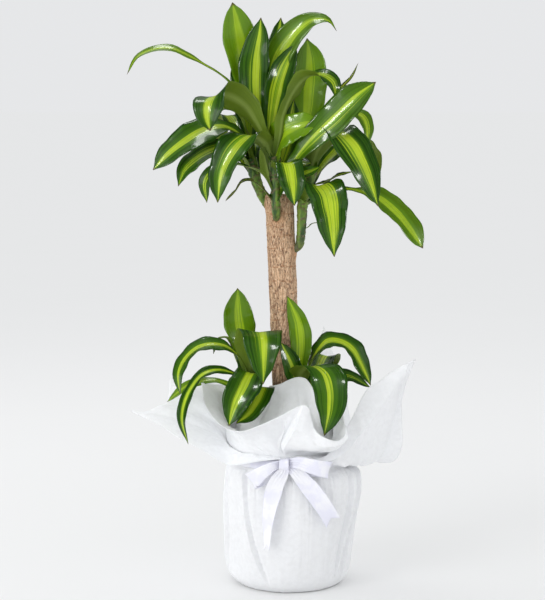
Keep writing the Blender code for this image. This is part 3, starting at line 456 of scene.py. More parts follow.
# Past each pleat's edge the cloth falls into a narrow groove and climbs out again, over these degrees. The
# pleats start and end at these heights in mm, and fade in and out over these ones.
PLEAT_FALL = 2.2
PLEAT_GROOVE = 3.2
PLEAT_LOW, PLEAT_FADE_LOW = 8, 30
PLEAT_HIGH, PLEAT_FADE_HIGH = 168, 14
# Pleats that the outer sheet lies in up the side of the pot: each row is a height in mm and the turn in
# degrees at which the fold's edge runs there, with how far it stands out in mm and how wide it is in
# degrees, below zero where its edge faces clockwise.
Pleat = namedtuple("Pleat", "line depth width")
BODY_PLEATS = (
    Pleat(((14, 248), (44, 239.6), (72, 234.5), (99, 231), (134, 227.4), (160, 225)), 4.6, 24),
    Pleat(((14, 321.6), (46, 323.6), (83, 326), (142, 328), (160, 328)), 4.4, -13),
    Pleat(((14, 331), (40, 330), (84, 333), (134, 338), (160, 340)), 3.8, -16),
    Pleat(((20, 20), (90, 14), (160, 24)), 4.0, 16),
    Pleat(((20, 78), (90, 84), (160, 76)), 4.4, 18),
    Pleat(((20, 132), (90, 126), (160, 134)), 3.6, 14),
    Pleat(((20, 184), (90, 190), (160, 186)), 4.0, 18),
)

# A strip of the bow: the points in mm that its middle passes, its widths in mm at even steps along it, the
# ways in which they run, its rows of faces, and in mm how deep its end is notched and how deep it is
# puckered where it leaves the knot.
Strip = namedtuple("Strip", "points widths sides steps notch pucker")
LOOP_RIGHT = Strip(
    ((-6, -92, 178), (12, -99, 178.5), (25, -102, 175.5), (39, -100, 171.5), (50.5, -91, 168),
     (46, -85.5, 167.5), (18, -88, 171), (-6, -89, 175)),
    (9, 16, 20, 22, 22, 18, 9),
    ((0, 0, 1), (0.15, 0, 1), (0.3, 0, 1), (0.1, 0, 1), (0, 0, 1)), 60, 0, 1.2,
)
LOOP_LEFT = Strip(
    ((-10, -92, 177), (-24, -98, 173), (-38, -99, 164.5), (-47, -95, 157), (-50, -89, 154.5),
     (-44, -86, 155), (-28, -88, 163), (-10, -89, 173)),
    (8, 13, 18, 23, 23, 16, 8),
    ((0, 0, 1), (-0.3, 0, 1), (-0.8, 0, 0.8), (-0.4, 0, 1), (0, 0, 1)), 60, 0, 1.0,
)
TAIL_LEFT = Strip(
    ((-8, -94, 176), (-9, -98, 168), (-17, -98, 154), (-25, -96, 128), (-29, -96, 102), (-30, -96, 78),
     (-30.5, -97, 64)),
    (8, 19, 22, 20, 17, 13, 10),
    ((1, 0, 0.1), (1, 0.1, 0.3), (0.8, -0.3, 0), (0.7, -0.6, 0), (0.6, -0.7, 0)), 60, 8, 1.4,
)
TAIL_RIGHT = Strip(
    ((-4, -93, 175), (8, -97, 165), (22, -97, 149), (37, -95, 129.5), (48, -90, 112), (56, -84, 97)),
    (9, 18, 22, 23, 23, 23),
    ((0.8, 0.1, 0.5), (0.85, 0.2, 0.5), (0.89, 0.3, 0.45)), 60, 8, 1.2,
)
KNOT = Strip(
    ((-8, -87, 182), (-8, -95, 183), (-8.5, -100, 178), (-8.5, -99.5, 172), (-8, -94, 167.5), (-8, -87, 168)),
    (10, 11, 12.5, 12, 11),
    ((1, 0, 0.12),), 24, 0, 1.6,
)
BOW = (LOOP_RIGHT, LOOP_LEFT, TAIL_LEFT, TAIL_RIGHT, KNOT)

# Colours of a leaf beside those of the settings: paler and darker streaks, the thin rim, painted shade
# towards the root, and painted light, the shades of a blade as if light shone through it.
MARGIN_STREAK = (0.042, 0.132, 0.003)
MARGIN_INNER = (0.085, 0.220, 0.003)
MARGIN_RIM = (0.010, 0.052, 0.001)
MARGIN_PAINTED_LIGHT = (0.19, 0.36, 0.003)
BAND_PALE = (0.50, 0.64, 0.050)
BAND_STREAK = (0.12, 0.30, 0.006)
BAND_PAINTED_LIGHT = (0.27, 0.47, 0.006)
UPPER_CLOUD = (0.02, 0.08, 0.004)
UNDER_RIB = (0.27, 0.36, 0.075)
UNDER_STREAK = (0.06, 0.115, 0.012)
UNDER_PAINTED_LIGHT = (0.14, 0.30, 0.01)
# Painted shade towards the root of a leaf.
LEAF_ROOT_PAINTED_SHADE = (0.012, 0.045, 0.002)
DRY_DARK, DRY_PALE = (0.05, 0.035, 0.012), (0.17, 0.12, 0.045)
STEM_GREEN = (0.1, 0.2, 0.04)
STEM_DARK, STEM_PALE = (0.022, 0.075, 0.006), (0.20, 0.34, 0.03)
SHEATH_DARK, SHEATH_PALE = (0.05, 0.028, 0.012), (0.30, 0.19, 0.09)
# Colours of the bark, the pot, the soil and the cloth beside those of the settings.
BARK_DULL = (0.40, 0.21, 0.11)
BARK_FLAKE = (0.93, 0.70, 0.47)
BARK_GRAIN = (0.18, 0.08, 0.035)
BARK_CLOUD = (0.56, 0.29, 0.15)
BARK_SCAR = (0.38, 0.15, 0.05)
BARK_COLLAR = (0.60, 0.30, 0.13)
# Darker towards the foot of the cane.
BARK_FOOT_DARK = (0.11, 0.065, 0.04)
SOIL_PALE = (0.10, 0.055, 0.03)
SOIL_FIBRE = (0.22, 0.14, 0.08)
POT_SCUFF = (0.28, 0.13, 0.07)
FLEECE_THIN = (0.86, 0.88, 0.92)
# Painted sheen on the satin, in soft paler clouds.
SATIN_PAINTED_SHEEN = (0.94, 0.94, 0.98)
SATIN_SHADE = (0.80, 0.80, 0.90)

# The camera stands in front of the bow and looks a little down. The picture's long side is 600 pixels and
# its focal length 1832.
CAMERA_PLACE = (-0.023, -2.40, 0.64)
CAMERA_TILT = math.radians(6.25)
FOCAL_PIXELS = 1832
LONG_SIDE_PIXELS = 600
SENSOR_MM = 36

# A soft light: its name, its place, the point that it faces and its size, in metres.
SoftLight = namedtuple("SoftLight", "name place target size")
WINDOW = SoftLight("window_light", (-0.7, 1.1, 1.9), (0, 0, 0.5), (1.6, 1.0))
KEY = SoftLight("key_light", (-1.9, -2.0, 1.0), (0, 0, 0.35), (1.2, 1.2))
# Windows that only shine on the leaves.
GLINTS = (
    SoftLight("window_overhead", (-0.1, 0.25, 2.1), (0, 0, 0.6), (0.7, 0.4)),
    SoftLight("window_left", (-0.95, -1.0, 1.55), (0, 0, 0.6), (0.25, 0.45)),
    SoftLight("window_right", (1.5, -0.85, 0.95), (0, 0, 0.6), (0.25, 0.5)),
)

# The room's colour, and the share of it that glossy things do not mirror. The floor reaches this far, in
# metres, with this many corners.
ROOM_COLOUR = (0.975, 0.985, 1.0)
ROOM_UNMIRRORED = 0.94
FLOOR_R = 90
FLOOR_SIDES = 96


# Settings

class LeafSettings(bpy.types.PropertyGroup):
    """Size and colours of the leaf blades."""
    thickness: bpy.props.FloatProperty(
        name="Thickness", description="Thickness of a blade beside its midrib", default=0.7 * MM,
        min=0.2 * MM, unit="LENGTH")
    steps: bpy.props.IntProperty(
        name="Steps", description="Rows of faces from a leaf's root to its tip", default=44, min=12)
    margin: bpy.props.FloatVectorProperty(
        name="Margin", description="Colour of the dark green margins", subtype="COLOR",
        default=(0.013, 0.051, 0.002), min=0, max=1)
    band: bpy.props.FloatVectorProperty(
        name="Band", description="Colour of the band down the middle", subtype="COLOR",
        default=(0.41, 0.56, 0.012), min=0, max=1)
    under: bpy.props.FloatVectorProperty(
        name="Underside", description="Colour of the duller underside", subtype="COLOR",
        default=(0.128, 0.197, 0.012), min=0, max=1)
    band_share: bpy.props.FloatProperty(
        name="Band Share", description="Share of the blade's half width that the band takes",
        default=0.24, min=0, max=1, subtype="FACTOR")


class BarkSettings(bpy.types.PropertyGroup):
    """Relief and colours of the cane."""
    fissure_depth: bpy.props.FloatProperty(
        name="Fissure Depth", description="How deep the bark is split", default=1.1 * MM, min=0,
        unit="LENGTH")
    plate: bpy.props.FloatProperty(
        name="Plate Width", description="Width of a plate of bark between fissures", default=6.5 * MM,
        min=1 * MM, unit="LENGTH")
    ring_gap: bpy.props.FloatProperty(
        name="Ring Gap", description="Usual distance between two leaf scars round the cane", default=18 * MM,
        min=5 * MM, unit="LENGTH")
    tan: bpy.props.FloatVectorProperty(
        name="Bark", description="Colour of the dry bark", subtype="COLOR",
        default=(0.67, 0.41, 0.24), min=0, max=1)
    deep: bpy.props.FloatVectorProperty(
        name="Fissure", description="Colour down in a fissure", subtype="COLOR",
        default=(0.13, 0.055, 0.022), min=0, max=1)


class WrapSettings(bpy.types.PropertyGroup):
    """Cut, folds and colours of the fleece sheets and the ribbon."""
    fleece_thickness: bpy.props.FloatProperty(
        name="Fleece Thickness", description="Thickness of one sheet", default=0.6 * MM, min=0.1 * MM,
        unit="LENGTH")
    pleats: bpy.props.IntProperty(
        name="Pleats", description="Small pleats gathered round the tie", default=46, min=0)
    pleat_depth: bpy.props.FloatProperty(
        name="Pleat Depth", description="How far a small pleat stands out at the tie", default=2.5 * MM,
        min=0, unit="LENGTH")
    fleece: bpy.props.FloatVectorProperty(
        name="Fleece", description="Colour of the fleece", subtype="COLOR",
        default=(0.955, 0.965, 0.985), min=0, max=1)
    satin: bpy.props.FloatVectorProperty(
        name="Satin", description="Colour of the ribbon", subtype="COLOR",
        default=(0.84, 0.84, 0.95), min=0, max=1)
    ribbon_thickness: bpy.props.FloatProperty(
        name="Ribbon Thickness", description="Thickness of the ribbon", default=0.5 * MM, min=0.1 * MM,
        unit="LENGTH")


class SoilSettings(bpy.types.PropertyGroup):
    """Crumbs and colour of the potting mix, and the pot's colour."""
    crumbs: bpy.props.FloatProperty(
        name="Crumbs", description="Crumbs on a square metre of soil", default=90000, min=0)
    crumb_size: bpy.props.FloatProperty(
        name="Crumb Size", description="Radius of a usual crumb", default=1.5 * MM, min=0, unit="LENGTH")
    earth: bpy.props.FloatVectorProperty(
        name="Potting Mix", description="Colour of the potting mix", subtype="COLOR",
        default=(0.045, 0.026, 0.015), min=0, max=1)
    pot: bpy.props.FloatVectorProperty(
        name="Pot", description="Colour of the pot's plastic", subtype="COLOR",
        default=(0.20, 0.075, 0.035), min=0, max=1)


class StageSettings(bpy.types.PropertyGroup):
    """The pale floor and the soft lights."""
    floor: bpy.props.FloatVectorProperty(
        name="Floor", description="Colour of the floor", subtype="COLOR", default=(0.825, 0.825, 0.82),
        min=0, max=1)
    room: bpy.props.FloatProperty(
        name="Room", description="Brightness of the surroundings", default=0.985, min=0)
    window: bpy.props.FloatProperty(
        name="Window", description="Power of the soft light high on the left, behind the plant", default=4,
        min=0, subtype="POWER")
    key: bpy.props.FloatProperty(
        name="Key Light", description="Power of the soft light in front on the left", default=19, min=0,
        subtype="POWER")
    glint: bpy.props.FloatProperty(
        name="Glint", description="Power of the windows that only show as a shine on the leaves", default=17,
        min=0, subtype="POWER")


# Meshes

def mesh_object(name, vertices, faces, materials):
    """A smooth mesh object that wears the given finishes."""
    mesh = bpy.data.meshes.new(name)
    mesh.from_pydata([tuple(v) for v in vertices], [], [tuple(f) for f in faces])
    mesh.validate()
    for finish in materials:
        mesh.materials.append(finish)
    mesh.shade_smooth()
    obj = bpy.data.objects.new(name, mesh)
    bpy.context.scene.collection.objects.link(obj)
    return obj


def settle(obj, slot_name, *nodes):
    """The finished piece rides on the body and stands for its frame nodes, which it hides. slot_name is not
    used.
    """
    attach(obj, "root")
    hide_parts(*nodes)
    return obj


def point_values(mesh, name, values):
    """Keeps a value for each vertex, under a name that materials read."""
    attribute = mesh.attributes.new(name, "FLOAT", "POINT")
    attribute.data.foreach_set("value", np.asarray(values, np.float32))


def flat_map(mesh, places):
    """The piece's own map, in metres over its surface: one (across, along) for each vertex."""
    layer = mesh.uv_layers.new(name="surface")
    corners = np.zeros(len(mesh.loops), np.int32)
    mesh.loops.foreach_get("vertex_index", corners)
    layer.data.foreach_set("uv", np.asarray(places, np.float32)[corners].ravel())


def grown(obj, tree, values):
    """The plain mesh that a Geometry Nodes tree makes of an object. values are the tree's inputs by name."""
    modifier = obj.modifiers.new(tree.name, "NODES")
    modifier.node_group = tree
    for item in tree.interface.items_tree:
        if item.item_type == "SOCKET" and item.in_out == "INPUT" and item.name in values:
            modifier[item.identifier] = values[item.name]
    bpy.context.view_layer.update()
    graph = bpy.context.evaluated_depsgraph_get()
    mesh = bpy.data.meshes.new_from_object(obj.evaluated_get(graph), depsgraph=graph)
    obj.modifiers.clear()
    obj.data = mesh
    return obj


def thickened(obj, thickness, offset):
    """Gives a sheet its thickness: offset -1 puts it inside the faces, and 0 half to each side."""
    solid = obj.modifiers.new("thickness", "SOLIDIFY")
    solid.thickness = thickness
    solid.offset = offset
    return obj


def compass(count):
    """Even turns round Z: each one's angle, cosine and sine."""
    for k in range(count):
        angle = math.tau * k / count
        yield angle, math.cos(angle), math.sin(angle)


def between_turns(angle):
    """The same turn, from half a turn back to half a turn on."""
    return (angle + math.pi) % math.tau - math.pi


def spline(points, steps):
    """steps + 1 points, evenly spaced along a smooth curve that passes the given ones."""
    given = [Vector(p) for p in points]
    gaps = [(b - a).length for a, b in zip(given, given[1:])]
    slopes = [(given[1] - given[0]) / gaps[0]]
    for i in range(1, len(given) - 1):
        before = (given[i] - given[i - 1]) / gaps[i - 1]
        after = (given[i + 1] - given[i]) / gaps[i]
        slopes.append((before * gaps[i] + after * gaps[i - 1]) / (gaps[i - 1] + gaps[i]))
    slopes.append((given[-1] - given[-2]) / gaps[-1])
    dense = [given[0]]
    for i, gap in enumerate(gaps):
        leaving, arriving = slopes[i] * gap, slopes[i + 1] * gap
        for k in range(1, CURVE_PARTS + 1):
            dense.append(hermite(given[i], leaving, given[i + 1], arriving, k / CURVE_PARTS))
    return evenly_spaced(dense, steps)


def hermite(start, leaving, end, arriving, t):
    """The point at t of a cubic with these ends and slopes."""
    square, cube = t * t, t * t * t
    return (start * (2 * cube - 3 * square + 1) + leaving * (cube - 2 * square + t)
            + end * (3 * square - 2 * cube) + arriving * (cube - square))


def evenly_spaced(dense, steps):
    """steps + 1 points at even distances along a finely cut curve."""
    lengths = [0.0]
    for a, b in zip(dense, dense[1:]):
        lengths.append(lengths[-1] + (b - a).length)
    found, i = [], 0
    for k in range(steps + 1):
        wanted = lengths[-1] * k / steps
        while i < len(dense) - 2 and lengths[i + 1] < wanted:
            i += 1
        span = lengths[i + 1] - lengths[i]
        found.append(dense[i].lerp(dense[i + 1], (wanted - lengths[i]) / span))
    return found


def tangents(path):
    """The unit direction of a path at each of its points."""
    ends = [path[0]] + path + [path[-1]]
    return [(ends[i + 2] - ends[i]).normalized() for i in range(len(path))]


def smooth_value(table, x):
    """A smooth reading between the rows of a table of (place, value)."""
    last = len(table) - 1
    i = max(k for k in range(last) if table[k][0] <= x)

    def slope(k):
        low, high = table[max(k - 1, 0)], table[min(k + 1, last)]
        return (high[1] - low[1]) / (high[0] - low[0])

    start, end = table[i], table[i + 1]
    span = end[0] - start[0]
    return hermite(start[1], slope(i) * span, end[1], slope(i + 1) * span, (x - start[0]) / span)


def mixed(ways, share):
    """The direction at this share of the way along a row of directions."""
    if len(ways) == 1:
        return Vector(ways[0])
    place = share * (len(ways) - 1)
    first = min(int(place), len(ways) - 2)
    return Vector(ways[first]).normalized().lerp(Vector(ways[first + 1]).normalized(), place - first)


def blade_frames(path, sides):
    """For each point of a midrib, the unit vectors along the blade's width and out of its upper face."""
    out = path[-1] - path[0]
    found = []
    for i, along in enumerate(tangents(path)):
        side = mixed(sides, i / (len(path) - 1)) if sides else Vector((out.y, -out.x, 0))
        side = (side - along * along.dot(side)).normalized()
        found.append((side, side.cross(along)))
    return found


def in_metres(points):
    return [Vector(p) * MM for p in points]


def grid_faces(rows, columns, start, flip=False, closed=False):
    """Quads over a grid of vertices, row by row. closed joins each row's end to its start."""
    faces = []
    for i in range(rows - 1):
        for j in range(columns if closed else columns - 1):
            a, b = start + i * columns + j, start + i * columns + (j + 1) % columns
            quad = (a, b, b + columns, a + columns)
            faces.append(quad[::-1] if flip else quad)
    return faces


def capped_faces(rows, columns):
    """Quads round a tube of rings, row by row, and one face over each of its ends."""
    faces = grid_faces(rows, columns, 0, closed=True)
    faces.append(tuple(reversed(range(columns))))
    faces.append(tuple((rows - 1) * columns + k for k in range(columns)))
    return faces


def skin_faces(rows, columns):
    """Quads over the upper and the under skin of a sheet, and round the edge that joins them."""
    count = rows * columns
    faces = grid_faces(rows, columns, 0) + grid_faces(rows, columns, count, flip=True)
    ring = list(range(columns))
    ring += [i * columns + columns - 1 for i in range(1, rows)]
    ring += [(rows - 1) * columns + j for j in range(columns - 2, -1, -1)]
    ring += [i * columns for i in range(rows - 2, 0, -1)]
    faces += [(b, a, a + count, b + count) for a, b in zip(ring, ring[1:] + ring[:1])]
    return faces


def grid_normals(points):
    """Unit normals over a grid of points, rows by columns."""
    along = np.gradient(points, axis=0)
    across = np.gradient(points, axis=1)
    normal = np.cross(across, along)
    return normal / np.maximum(np.linalg.norm(normal, axis=2, keepdims=True), 1e-12)


# Leaves

def edge_sway(leaf, number, share, right):
    """At this share of a leaf's length: the wave and the ripple of its edge, and how its width swells."""
    phase = LEAF_SHIFT * number
    hand = HALF_SHIFT if right else 0
    size = min(1, leaf.width / FULL_WAVE_WIDTH)
    wave = WAVE * size * math.sin(math.tau * WAVES * share + phase + hand)
    ripple = RIPPLE * size * math.sin(math.tau * RIPPLES * share + 3 * phase + 2 * hand)
    swell = 1.0
    for depth, count, shift, lag in SWELLS:
        swell += depth * math.sin(math.tau * count * share + shift * phase + lag * hand)
    return wave, ripple, swell


def blade_points(path, leaf, number, across):
    """The middle surface of a leaf blade, rows along its midrib and columns across it."""
    outline_power = math.log(PEAK) / math.log(leaf.peak)
    rows = []
    for i, (side, upper) in enumerate(blade_frames(path, leaf.sides)):
        share = i / (len(path) - 1)
        outline = smooth_value(BLADE_OUTLINE, share ** outline_power)
        half = leaf.width * MM / 2 * max(LEAST_WIDTH, outline)
        fold = FOLD_ROOT + (FOLD_BLADE - FOLD_ROOT) * min(1, share / FOLD_OPENS)
        fade = math.sin(math.pi * share)
        row = []
        for t in across:
            wave, ripple, swell = edge_sway(leaf, number, share, t > 0)
            lift = abs(t) ** 1.3 * half * math.sin(fold) + (wave * t * t + ripple * t ** 4) * fade
            row.append(path[i] + side * (t * half * swell * math.cos(fold)) + upper * lift)
        rows.append(row)
    return np.array(rows)


def blade_mesh(leaf, path, number, settings, seed):
    """Vertices, faces and surface values of one closed leaf blade: its upper skin, then its under skin."""
    across = np.linspace(-1, 1, BLADE_COLUMNS if leaf.width > NARROW_WIDTH else NARROW_COLUMNS)
    middle = blade_points(path, leaf, number, across)
    rows, columns = middle.shape[:2]
    normal = grid_normals(middle)
    share = np.linspace(0, 1, rows)[:, None] * np.ones(columns)
    rim = np.abs(across)[None, :] * np.ones((rows, 1))
    thick = settings.thickness * (1.2 - 0.8 * rim ** 3) * np.minimum(1, 14 * (1 - share) + 0.25)
    rib = RIB_HEIGHT * np.exp(-(rim / RIB_WIDTH) ** 2) * (1 - share) ** 0.7 * min(1, leaf.width / 30)
    upper = middle + normal * (thick / 2 - 0.25 * rib)[:, :, None]
    under = middle - normal * (thick / 2 + rib)[:, :, None]
    points = np.concatenate([upper.reshape(-1, 3), under.reshape(-1, 3)])
    count = rows * columns
    values = {
        "across": np.tile(across, rows),
        "along": share.ravel(),
        "seed": np.full(count, seed),
        "dry": np.full(count, leaf.dry),
        # Painted light for the colour, as of light shining through the blade.
        "lit": np.full(count, leaf.lit),
    }
    values = {name: np.tile(column, 2) for name, column in values.items()}
    values["under"] = np.repeat([0.0, 1.0], count)
    length = sum((b - a).length for a, b in zip(path, path[1:]))
    places = np.stack([values["across"] * (leaf.width * MM / 2), values["along"] * length], axis=1)
    return points, skin_faces(rows, columns), values, places


def stem_mesh(path, radii):
    """Vertices and faces of a shoot's stem, clasped by the sheaths of old leaves, and how near each vertex
    is to a sheath's torn edge."""
    rows = len(path)
    points, torn, way = [], [], 0.0
    for i, along in enumerate(tangents(path)):
        across = along.cross(Vector((0, -1, 0))).normalized()
        third = along.cross(across)
        way += (path[i] - path[i - 1]).length if i else 0
        radius = (radii[0] + (radii[1] - radii[0]) * (i / (rows - 1))) * MM
        sheaths = way / SHEATH_GAP
        for angle, cosine, sine in compass(STEM_SIDES):
            ragged = noise.noise(Vector((cosine * 2, sine * 2, sheaths)))
            rise = (sheaths + 0.35 * math.cos(angle + 2.4 * round(sheaths)) + 0.45 * ragged) % 1
            swell = radius + SHEATH_STEP * (rise ** 1.5 - 0.6)
            points.append(path[i] + (across * cosine + third * sine) * swell)
            torn.append(max(0, rise * 3 - 2))
    return np.array([tuple(p) for p in points]), capped_faces(rows, STEM_SIDES), np.array(torn)


def leaf_root(leaf, stem):
    """Where on its stem a leaf starts."""
    place = leaf.at * (len(stem) - 1)
    first = min(int(place), len(stem) - 2)
    return stem[first].lerp(stem[first + 1], place - first)


def shoot(spec, finishes, settings):
    """A leafy shoot in one mesh: its stem, then each leaf."""
    stem = spline(in_metres(spec.stem), STEM_STEPS)
    points, faces, torn = stem_mesh(stem, spec.radii)
    parts = [points]
    kinds = [1] * len(faces)
    values = {name: [np.zeros(len(points))] for name in ("across", "seed", "lit", "under")}
    values["along"] = [np.repeat(np.linspace(0, 1, len(stem)), STEM_SIDES)]
    values["dry"] = [torn]
    places = [points[:, [0, 2]]]
    total = len(points)
    for number, leaf in enumerate(spec.leaves):
        path = spline([leaf_root(leaf, stem)] + in_metres(leaf.midrib), settings.steps)
        seed = (number * CHANCE_STEP + 0.31 * len(spec.leaves)) % 1
        new_points, new_faces, new_values, new_places = blade_mesh(leaf, path, number, settings, seed)
        faces += [tuple(total + v for v in face) for face in new_faces]
        kinds += [0] * len(new_faces)
        parts.append(new_points)
        places.append(new_places)
        for name, column in new_values.items():
            values[name].append(column)
        total += len(new_points)
    obj = mesh_object(spec.name + "_leaves", np.concatenate(parts), faces, finishes)
    obj.data.polygons.foreach_set("material_index", kinds)
    for name, columns in values.items():
        point_values(obj.data, name, np.concatenate(columns))
    point_values(obj.data, "band", np.full(total, spec.band))
    flat_map(obj.data, np.concatenate(places))
    return settle(obj, "leaf", spec.name)


# Cane

def cane_axis(z):
    """The middle of the cane at this height."""
    return CANE_FOOT.lerp(CANE_TOP, (z - CANE_FOOT.z) / (CANE_TOP.z - CANE_FOOT.z))


def cane_rings():
    """Height and radius of the cane's rings: wide apart in the soil, fine above it, and over its rounded
    rim to the middle of its sealed top."""
    rim, top_z = 2 * MM, CANE_TOP.z
    heights = list(np.linspace(CANE_FOOT.z, SOIL_TOP_Z - 4 * MM, BURIED_RINGS))
    heights += list(np.linspace(SOIL_TOP_Z - 3 * MM, top_z - rim, CANE_RINGS))
    rings = [(z, CANE_R) for z in heights]
    rings += [(top_z - rim * (1 - s), CANE_R * (1 - 0.1 * s * s)) for s in (0.4, 0.8, 1.0)]
    rings += [(top_z + 0.6 * MM, CANE_R * s) for s in (0.8, 0.65, 0.5, 0.35, 0.2, 0.08)]
    return rings


def cane_grid():
    """The cane before its bark is split, with a collar swelling round each shoot, and how near each vertex
    is to a collar."""
    rings = cane_rings()
    points, collar = [], []
    collars = in_metres(COLLARS)
    for z, radius in rings:
        middle = cane_axis(min(z, CANE_TOP.z))
        middle.z = z
        for _, cosine, sine in compass(CANE_SIDES):
            out = Vector((cosine, sine, 0))
            point = middle + out * radius
            near = max(math.exp(-((point - place).length / COLLAR_REACH) ** 2) for place in collars)
            points.append(point + out * (COLLAR_SWELL * near))
            collar.append(near)
    return points, capped_faces(len(rings), CANE_SIDES), collar


def cane(finish, settings):
    """The woody cane, its bark split by the bark tree."""
    points, faces, collar = cane_grid()
    obj = mesh_object("cane_bark", points, faces, [finish])
    point_values(obj.data, "collar", collar)
    grown(obj, bark_tree(), {
        "Fissure Depth": settings.fissure_depth,
        "Plate Width": settings.plate,
        "Ring Gap": settings.ring_gap,
        "Material": finish,
    })
    obj.data.shade_smooth()
    return settle(obj, "bark", "cane")


# Pot and soil

def turned(name, profile, finish):
    """A solid of revolution about Z from a profile of (radius, height) that starts and ends on the axis."""
    vertices = []
    for radius, height in profile[1:-1]:
        vertices += [(radius * cosine, radius * sine, height) for _, cosine, sine in compass(POT_SIDES)]
    rows, low = len(profile) - 2, len(vertices)
    vertices += [(0, 0, profile[0][1]), (0, 0, profile[-1][1])]
    faces = grid_faces(rows, POT_SIDES, 0, closed=True)
    top = (rows - 1) * POT_SIDES
    for k in range(POT_SIDES):
        after = (k + 1) % POT_SIDES
        faces += [(after, k, low), (top + k, top + after, low + 1)]
    return mesh_object(name, vertices, faces, [finish])


def pot(finish):
    """The nursery pot, with a rolled lip and a step under it."""
    foot, low = POT_BASE_R, POT_BASE_Z
    lip = POT_TOP_Z - POT_RIM_DROP
    rim_in, foot_in = POT_RIM_R - POT_WALL, POT_BASE_R - POT_WALL
    profile = [(0, low), (foot - 3 * MM, low), (foot - 0.8 * MM, low + 0.6 * MM), (foot, low + 3 * MM)]
    for s in (0.25, 0.5, 0.75, 0.98):
        profile.append((foot + (POT_TOP_R - foot) * s, low + (lip - low) * s))
    profile += [(POT_RIM_R - 0.8 * MM, lip), (POT_RIM_R, lip + 0.8 * MM), (POT_RIM_R, POT_TOP_Z - 1 * MM)]
    profile += [(POT_RIM_R - 0.7 * MM, POT_TOP_Z), (rim_in + 0.2 * MM, POT_TOP_Z - 0.4 * MM)]
    profile += [(rim_in - 0.8 * MM, POT_TOP_Z - 2 * MM), (POT_TOP_R - POT_WALL, lip + 1 * MM)]
    profile += [(foot_in, low + 4 * MM), (foot_in - 2 * MM, low + POT_FLOOR), (0, low + POT_FLOOR)]
    obj = turned("nursery_pot", profile, finish)
    obj.data.set_sharp_from_angle(angle=math.radians(40))
    return settle(obj, "pot_plastic", "pot")


def soil_height(x, y):
    """The height of the lumpy soil at this place."""
    lump = noise.fractal(Vector((x, y, 0)) * 55, 1.0, 2.0, 3)
    return SOIL_TOP_Z - 0.5 * MM + SOIL_LUMP * lump


def soil(finish, settings):
    """The potting mix: a lumpy bed in the pot, strewn with crumbs."""
    sides, rings = 96, 26
    foot_r, foot_z = POT_BASE_R - 3.4 * MM, POT_BASE_Z + 3.2 * MM
    points = [(foot_r * cosine, foot_r * sine, foot_z) for _, cosine, sine in compass(sides)]
    for i in range(rings):
        radius = SOIL_TOP_R * (1 - i / rings)
        sunk = 0 if i else 3 * MM
        for _, cosine, sine in compass(sides):
            x, y = radius * cosine, radius * sine
            points.append((x, y, soil_height(x, y) - sunk))
    obj = mesh_object("potting_mix", points, capped_faces(rings + 1, sides), [finish])
    grown(obj, crumb_tree(), {
        "Crumbs": settings.crumbs,
        "Crumb Size": settings.crumb_size,
        "Floor": SOIL_TOP_Z - 6 * MM,
        "Material": finish,
    })
    return settle(obj, "potting_mix", "soil")


# Sheets

def edge_rows(edge, neck_r):
    """For each row of a free edge: its rim, the points that its column passes, and how sharply it folds."""
    found = []
    for row in edge:
        rim = Vector(row.point) * MM
        out = Vector((rim.x, rim.y, 0)).normalized()
        via, fold = [sweep(out, rim, row.curl * MM, neck_r, share) for share in (0.35, 0.70)]
        if row.via:
            via = Vector(row.via) * MM
        if row.fold:
            fold = Vector(row.fold) * MM
        found.append((rim, via, fold, 1.0 if row.fold else 0.0))
    return found


def sweep(out, rim, curl, neck_r, t):
    """A point on the way from the tie up and out to the rim, curling over just inside it."""
    start = out * neck_r + Vector((0, 0, TIE_Z + NECK_HALF))
    reach = (rim - start).length
    climb = max(0.15, min(0.8, 0.35 + 0.6 * (rim.z - start.z) / reach))
    leave = start + (Vector((0, 0, climb)) + out * (0.9 - climb)) * reach * 0.35
    arrive = rim + Vector((0, 0, 1)) * curl - out * (reach * 0.30 + curl * 0.6) - Vector((0, 0, reach * 0.05))
    return start * (1 - t) ** 3 + leave * 3 * t * (1 - t) ** 2 + arrive * 3 * t * t * (1 - t) + rim * t ** 3


def bend_between(rows, corners, i, share):
    """The rim and the points passed, at this share of the way from one row of a free edge to the next."""
    total = len(rows)
    before, here, after, beyond = rows[i - 1], rows[i], rows[(i + 1) % total], rows[(i + 2) % total]
    placed = []
    for n in range(3):
        straight = after[n] - here[n]
        leaving = straight if n == 0 and corners[i] else (after[n] - before[n]) / 2
        arriving = straight if n == 0 and corners[(i + 1) % total] else (beyond[n] - here[n]) / 2
        placed.append(hermite(here[n], leaving, after[n], arriving, share))
    return (*placed, here[3] + (after[3] - here[3]) * share)


def edge_line(edge, neck_r):
    """A free edge in fine steps round the pot: each one's turn, its rim, the points passed and how sharply
    it folds."""
    rows = edge_rows(edge, neck_r)
    corners = [row.corner for row in edge]
    line, turn = [], math.atan2(rows[0][0].y, rows[0][0].x)
    for i in range(len(rows)):
        for k in range(CURVE_PARTS):
            placed = bend_between(rows, corners, i, k / CURVE_PARTS)
            turn += between_turns(math.atan2(placed[0].y, placed[0].x) - turn)
            line.append((turn, *placed))
    line.append((line[0][0] + math.tau, *line[0][1:]))
    return line


def edge_columns(edge, neck_r, count):
    """The rim, the points passed and the fold's sharpness for each of count columns spaced evenly round
    the pot."""
    line = edge_line(edge, neck_r)
    found = []
    for angle, _, _ in compass(count):
        wanted = line[0][0] + (angle - line[0][0]) % math.tau
        i = next(i for i in range(len(line) - 1) if line[i + 1][0] >= wanted)
        low, high = line[i], line[i + 1]
        span = high[0] - low[0]
        share = max(0, (wanted - low[0]) / span) if span > 0 else 0
        placed = [low[n].lerp(high[n], share) for n in (1, 2, 3)]
        found.append([*placed, low[4] + (high[4] - low[4]) * share])
    for row in edge:
        if row.corner:
            place = math.atan2(row.point[1], row.point[0]) % math.tau
            found[round(place / math.tau * count) % count][0] = Vector(row.point) * MM
    return found


